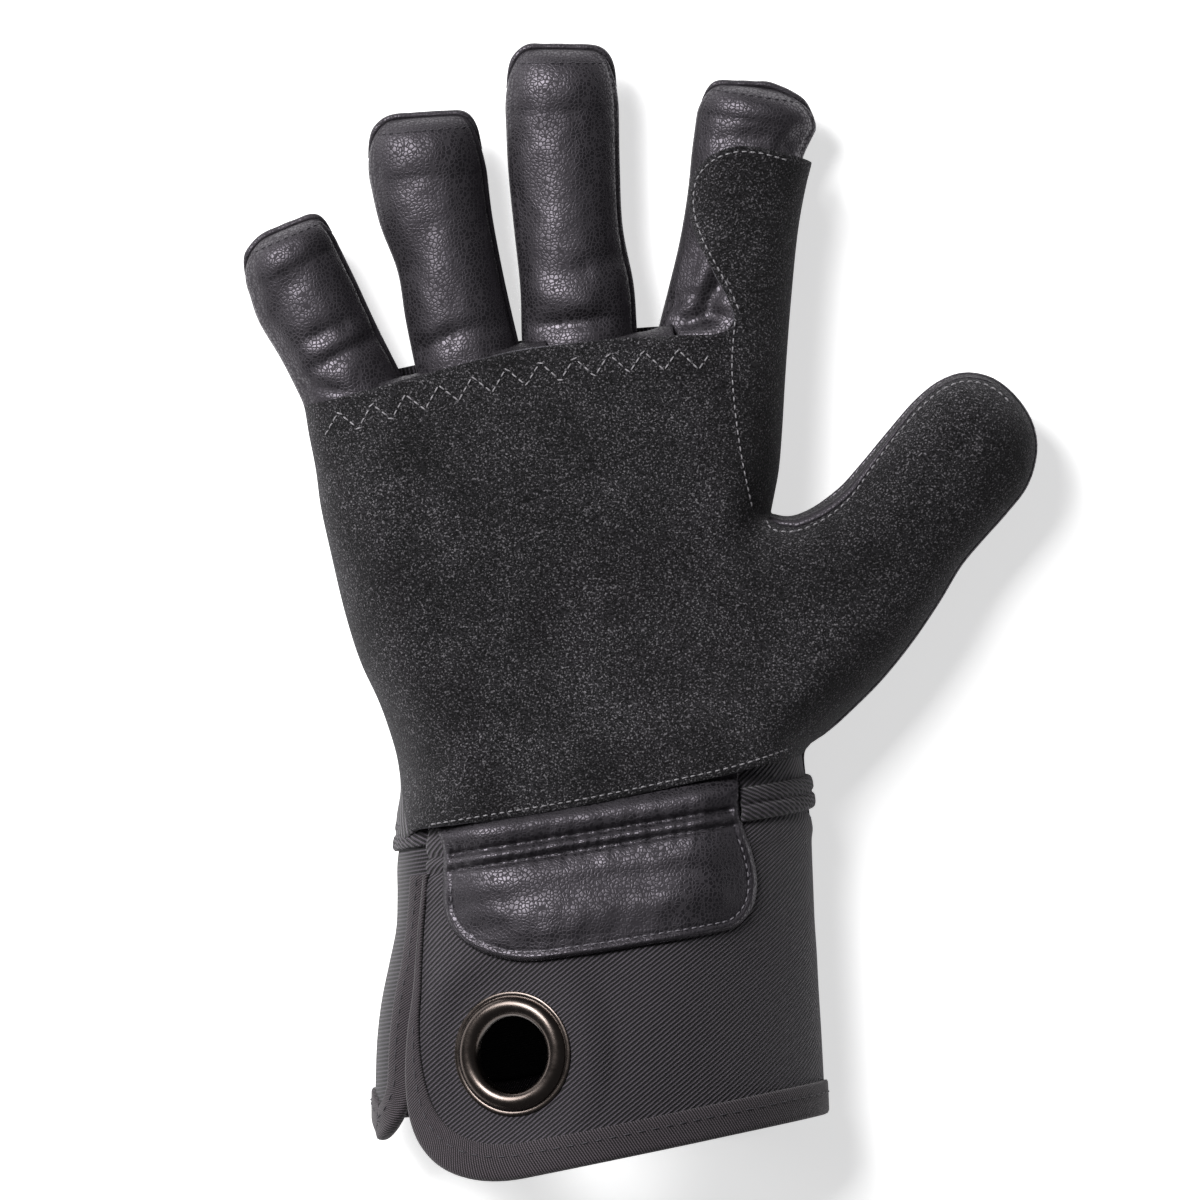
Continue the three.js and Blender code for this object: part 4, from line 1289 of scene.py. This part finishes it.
class GLOVE_OT_stage(bpy.types.Operator):
    """Sets up the camera over the palm, a pale floor and soft studio light"""

    bl_idname = "glove.stage"
    bl_label = "Stage"

    def execute(self, context):
        scene = context.scene
        camera = bpy.data.cameras.new("camera")
        camera.lens, camera.sensor_width = 964, 36
        camera.clip_end = 20
        eye = bpy.data.objects.new("camera", camera)
        eye.location = (-0.01004, 0.0021, 8.0)
        scene.collection.objects.link(eye)
        scene.camera = eye
        floor = mesh_object("floor", 1000 * np.array([(-3, -3, 0), (3, -3, 0), (3, 3, 0), (-3, 3, 0)]), [(0, 1, 2, 3)])
        paper, tree, skin = new_material("floor_paper")
        skin.inputs["Base Color"].default_value = linear("#f4f4f4")
        skin.inputs["Roughness"].default_value = 0.9
        skin.inputs["Emission Color"].default_value = (1, 1, 1, 1)
        skin.inputs["Emission Strength"].default_value = 0.62
        floor.data.materials.append(paper)
        world = bpy.data.worlds.new("studio")
        scene.world = world
        world.use_nodes = True
        world.node_tree.nodes["Background"].inputs["Color"].default_value = linear("#f5f7fb")
        world.node_tree.nodes["Background"].inputs["Strength"].default_value = 0.09
        for name, place, size, power in (
            ("key", (-0.95, 0.62, 0.95), 0.7, 15.0),
            ("top", (-0.56, 0.56, 1.15), 0.5, 18.0),
        ):
            light = bpy.data.lights.new(name, "AREA")
            light.size, light.energy = size, power
            lamp = bpy.data.objects.new(name, light)
            lamp.location = place
            lamp.rotation_euler = (-Vector(place)).to_track_quat("-Z", "Y").to_euler()
            scene.collection.objects.link(lamp)
        scene.view_settings.view_transform = "Standard"
        return {"FINISHED"}


class GLOVE_OT_stalls(bpy.types.Operator):
    """Makes the four leather finger stalls with the lips of their tip seams"""

    bl_idname = "glove.stalls"
    bl_label = "Finger stalls"

    def execute(self, context):
        sizes, colours = context.scene.glove_sizes, context.scene.glove_colours
        leather = leather_of(colours)
        runs = []
        for name in STALLS:
            grid, out, count = make_stall(name, leather, sizes.leather)
            make_lip(name, grid, out, count, leather)
            row, q = count + 13, STALL_COLUMNS // 4
            runs.append((grid[row, 5 : 2 * q - 4], out[row, 5 : 2 * q - 4]))
        stitches("tip_seam_stitches", runs, sizes.stitch, 0.7, sizes.thread * 0.7)
        finished("tip_seam_stitches", dark_thread_of(colours), [])
        return {"FINISHED"}


class GLOVE_OT_palm(bpy.types.Operator):
    """Makes the one-piece suede of palm, index flap and thumb face"""

    bl_idname = "glove.palm"
    bl_label = "Suede palm"

    def execute(self, context):
        sizes, colours = context.scene.glove_sizes, context.scene.glove_colours
        sides = [(LEFT_LINE, LEFT_ROLL), (RIGHT_LINE, RIGHT_ROLL)]
        piece = plan_piece("suede_palm_patch", suede_outline(), palm_front, sizes.net, sizes.suede, sides)
        finished("suede_palm_patch", suede_of(colours), ["suede_palm"])
        piece.data.materials.append(cut_edge_of(colours))
        piece.modifiers["wall"].material_offset_rim = 1
        return {"FINISHED"}


class GLOVE_OT_trim(bpy.types.Operator):
    """Makes the thumb's glossy leather strip and the thin lip of its seam"""

    bl_idname = "glove.trim"
    bl_label = "Thumb strip and lip"

    def execute(self, context):
        sizes, colours = context.scene.glove_sizes, context.scene.glove_colours
        leather = leather_of(colours)
        side = line_between(THUMB_SIDE, (771, 513), (1000, 384))
        t = np.linspace(0, 1, len(side))
        half = 0.35 + 1.45 * soft((0.72 - t) / 0.6) * (0.35 + 0.65 * soft(t / 0.08))
        path, out = on_height(inset(side, half + 0.5)[::3], palm_front, 0.1)
        ang = np.linspace(0, 2 * math.pi, 19)[:-1]
        bead = np.stack([np.cos(ang), 0.62 * np.sin(ang)], -1)
        closed_sweep("thumb_strip_leather", path, out, bead, half[::3])
        finished("thumb_strip_leather", leather, [])
        edge = line_between(THUMB_SIDE, (800, 516), (806, 750))[::2]
        level = side_height(edge)
        path = np.column_stack([inset(edge, 0.2), level])
        ang = np.linspace(0, 2 * math.pi, 11)[:-1]
        t = np.linspace(0, 1, len(path))
        taper = 0.3 + 0.7 * soft(t / 0.06) * soft((1 - t) / 0.06)
        profile = np.stack([0.75 * np.cos(ang), 0.95 * np.sin(ang)], -1)
        closed_sweep("thumb_seam_lip", path, np.tile([0, 0, 1.0], (len(path), 1)), profile, taper)
        finished("thumb_seam_lip", leather, [])
        return {"FINISHED"}


class GLOVE_OT_stitching(bpy.types.Operator):
    """Makes the rows of stitches on the suede, the thumb and the wrist's leather"""

    bl_idname = "glove.stitching"
    bl_label = "Stitching"

    def execute(self, context):
        sizes, colours = context.scene.glove_sizes, context.scene.glove_colours
        thread, dark = thread_of(colours), dark_thread_of(colours)
        wide = sizes.thread
        stitches("palm_zigzag_stitches", [on_height(zigzag_line(), palm_front)], 1.75, 0.42, wide)
        finished("palm_zigzag_stitches", thread, [])
        low = inset(line_between(SUEDE_BOTTOM, (790, 754), (432, 830)), 1.5)
        flap = inset(line_between(FLAP_EDGE, (733, 314), (790, 156)), 1.4)
        seam = through(plan((735, 320), (732, 365), (735, 410), (742, 460), (752, 508)), 0.5)
        thumb = inset(thumb_inner(), 1.0)
        runs = [on_height(line, palm_front) for line in (low, flap, seam, thumb)]
        stitches("suede_edge_stitches", runs, sizes.stitch, 0.7, wide * 0.9)
        finished("suede_edge_stitches", thread, [])
        rim = inset(line_between(PULSE_EDGE, (443, 885), (745, 835)), -2.2)
        first = np.column_stack([np.linspace(-47.5, 21.5, 200), np.zeros(200)])
        # painted highlight: the welt's stitches get a lighter thread colour for their glints
        glint = kept("polyester_thread_waxed", thread_cord, colours.welt_thread)
        stitches("welt_stitches", [on_height(rim, pulse_front, 0.1)], 1.5, 0.6, wide)
        finished("welt_stitches", glint, [])
        rows = []
        for b in (0.0, 4.1):
            first[:, 1] = cuff_y(first[:, 0], b)
            rows.append(first.copy())
        stitches("wrist_stitches", [on_height(line, pulse_front, 0.05) for line in rows], 1.7, 1.1, wide * 0.85)
        finished("wrist_stitches", dark, [])
        return {"FINISHED"}


class GLOVE_OT_back(bpy.types.Operator):
    """Makes the ribbed back of the hand, its side seen beside the palm, and the thumb's leather underside"""

    bl_idname = "glove.back"
    bl_label = "Back and thumb"

    def execute(self, context):
        sizes, colours = context.scene.glove_sizes, context.scene.glove_colours
        knit, leather = knit_of(colours), leather_of(colours)
        left = line_between(LEFT_LINE, (296, 389), (395, 842))
        top = through(plan((296, 389), (406, 366), (519, 340), (638, 327), (789, 320)), 0.8)
        right = line_between(RIGHT_LINE, (789, 320), (771, 513))
        inner = through(plan((771, 513), (800, 545), (826, 610), (826, 680), (806, 750), (808, 780)), 0.8)
        wrist = through(plan((808, 780), (640, 812), (520, 830), (395, 850)), 0.8)
        outline = np.concatenate([top, right[1:], inner[1:], wrist[1:], left[::-1]])
        sides = [(LEFT_LINE, BACK_ROLL), (RIGHT_LINE, BACK_ROLL)]
        plan_piece("back_rib_cloth", outline, palm_back, 1.2, 1.2, sides, down=True)
        finished("back_rib_cloth", knit, ["back_panel"])
        strip = np.concatenate(
            [
                line_between(LEFT_LINE, (335, 575), (395, 842)),
                through(plan((395, 842), (424, 838)), 0.8)[1:],
                through(plan((424, 838), (440, 820), (412, 745), (370, 640), (350, 575)), 0.8)[1:],
            ]
        )
        plan_piece("side_rib_cloth", strip, palm_front, 0.8, 1.2, [(LEFT_LINE, LEFT_ROLL)], lift=-1.5)
        finished("side_rib_cloth", knit, [])
        thumb = np.concatenate(
            [
                line_between(THUMB_SIDE, (771, 513), (806, 750)),
                through(plan((806, 750), (818, 690), (816, 615), (792, 550), (771, 513)), 0.8)[1:],
            ]
        )
        plan_piece("thumb_leather", thumb, palm_back, 1.1, sizes.leather, [(RIGHT_LINE, BACK_ROLL)], down=True, lift=-0.0)
        finished("thumb_leather", leather, ["thumb_stall"])
        return {"FINISHED"}


class GLOVE_OT_webs(bpy.types.Operator):
    """Makes the leather that closes the hand between the fingers"""

    bl_idname = "glove.webs"
    bl_label = "Finger webs"

    def execute(self, context):
        sizes, colours = context.scene.glove_sizes, context.scene.glove_colours
        grids = []
        a = np.linspace(0, math.pi, 40)
        for x, y, half in ((409, 384, 30), (520, 352, 28), (645, 340, 30)):
            middle = plan((x, y))[0]
            w = np.linspace(-half * PIXEL, half * PIXEL, 20)
            along = np.array([0.986, 0.167])
            base = middle + w[:, None] * along
            out = 1.5 + 1.5 * (w / w.max()) ** 2
            reach = np.sin(a)[None] * out[:, None] - 6.0 + 6.0 * np.sin(a)[None] ** 0.5
            xy = base[:, None] - reach[..., None] * DOWN_HAND
            z = 13.6 + 12.6 * np.cos(a)[None] * np.ones((len(w), 1))
            grids.append(np.concatenate([xy, z[..., None]], -1))
        faces = quads(*grids[0].shape[:2])
        size = grids[0].shape[0] * grids[0].shape[1]
        points = np.concatenate([g.reshape(-1, 3) for g in grids])
        all_faces = np.concatenate([faces + k * size for k in range(len(grids))])
        mesh_object("finger_web_leather", points, all_faces, None, 0.8)
        finished("finger_web_leather", leather_of(colours), ["palm_panel"])
        return {"FINISHED"}


class GLOVE_OT_cuff(bpy.types.Operator):
    """Makes the cuff's twill, its elastic band and its folded binding"""

    bl_idname = "glove.cuff"
    bl_label = "Cuff and binding"

    def execute(self, context):
        sizes, colours = context.scene.glove_sizes, context.scene.glove_colours
        cuff_sheets(twill_of(colours), ribbed_of(colours), shade_lining_of(colours), sizes.cloth)
        mid, out, wide = make_binding(sizes.tape, tape_of(colours))
        seen = np.flatnonzero(wide > 3)
        stitches("binding_stitches", [(mid[seen], out[seen])], 2.3, 1.3, sizes.thread * 0.9)
        finished("binding_stitches", dark_thread_of(colours), [])
        f0 = np.interp(24.7, CUFF_AT[16, :300, 0], np.arange(300)) / (CUFF_COLUMNS - 1)
        for name, first, last, low, high in (
            ("wrist_band_back", float(f0), 0.998, -0.5, -7.0),
        ):
            f = np.linspace(first, last, max(12, int(300 * (last - first))))
            middle = low + (high - low) * soft((f - first) / (last - first))
            t = np.linspace(-1, 1, 22)
            b = middle[None] + 4.2 * t[:, None]
            bumps = 0.25 * np.sin(f * cuff_length(0.0) * 2 * math.pi / 2.4)
            lift = 0.9 + 0.75 * roll((1 - np.abs(t)) / 0.5)[:, None] * (1 + bumps[None]) - 0.7 * np.exp(-((t / 0.14) ** 2))[:, None]
            points = cuff_at(np.broadcast_to(f, b.shape), b, lift)
            uv = np.stack([np.broadcast_to(f * cuff_length(0.0), b.shape), b], -1)
            grid_piece(name, points, uv, wall=0.8, turn=True)
            finished(name, twill_of(colours), [])
        return {"FINISHED"}


class GLOVE_OT_pulse(bpy.types.Operator):
    """Makes the leather over the wrist: the gathered strip, the two tucks and the round patch"""

    bl_idname = "glove.pulse"
    bl_label = "Pulse patch"

    def execute(self, context):
        sizes, colours = context.scene.glove_sizes, context.scene.glove_colours
        outline = np.concatenate([PULSE_TOP, PULSE_EDGE])
        plan_piece("pulse_patch_leather", outline, pulse_front, 0.6, sizes.leather, [])
        finished("pulse_patch_leather", leather_of(colours), ["pulse_patch"])
        return {"FINISHED"}


class GLOVE_OT_eyelet(bpy.types.Operator):
    """Makes the eyelet and its washer"""

    bl_idname = "glove.eyelet"
    bl_label = "Eyelet"

    def execute(self, context):
        colours = context.scene.glove_colours
        metal = kept("brass_dark_nickel_plated", nickel, colours.metal)
        lathed("eyelet_ring", eyelet_profile(), EYELET_AT, EYELET_AXIS)
        finished("eyelet_ring", metal, ["eyelet"])
        washer = np.array([(10.35, -1.9), (15.2, -1.9), (15.5, -2.1), (15.3, -2.35), (12.0, -2.75), (10.35, -2.6)])
        lathed("eyelet_back_washer", washer, EYELET_AT, EYELET_AXIS, 96)
        finished("eyelet_back_washer", metal, ["eyelet_washer"])
        return {"FINISHED"}


class GLOVE_PT_panel(bpy.types.Panel):
    """Lists the glove's pieces in the order in which they are made"""

    bl_idname = "GLOVE_PT_panel"
    bl_label = "Glove"
    bl_space_type = "VIEW_3D"
    bl_region_type = "UI"
    bl_category = "Glove"

    def draw(self, context):
        for group in (context.scene.glove_sizes, context.scene.glove_colours):
            for name in type(group).__annotations__:
                self.layout.prop(group, name)
        for step in STEPS:
            self.layout.operator(step.bl_idname)


STEPS = (
    GLOVE_OT_stage,
    GLOVE_OT_stalls,
    GLOVE_OT_palm,
    GLOVE_OT_trim,
    GLOVE_OT_back,
    GLOVE_OT_webs,
    GLOVE_OT_cuff,
    GLOVE_OT_pulse,
    GLOVE_OT_eyelet,
    GLOVE_OT_stitching,
)
CLASSES = (GloveSizes, GloveColours, *STEPS, GLOVE_PT_panel)


def register():
    for one in CLASSES:
        bpy.utils.register_class(one)
    bpy.types.Scene.glove_sizes = bpy.props.PointerProperty(type=GloveSizes)
    bpy.types.Scene.glove_colours = bpy.props.PointerProperty(type=GloveColours)


def unregister():
    del bpy.types.Scene.glove_colours
    del bpy.types.Scene.glove_sizes
    for one in reversed(CLASSES):
        bpy.utils.unregister_class(one)


def main():
    """Makes every piece in order."""
    register()
    bpy.ops.glove.stage()
    bpy.ops.glove.stalls()
    bpy.ops.glove.palm()
    bpy.ops.glove.trim()
    bpy.ops.glove.back()
    bpy.ops.glove.webs()
    bpy.ops.glove.cuff()
    bpy.ops.glove.pulse()
    bpy.ops.glove.eyelet()
    bpy.ops.glove.stitching()


if __name__ == "__main__":
    main()
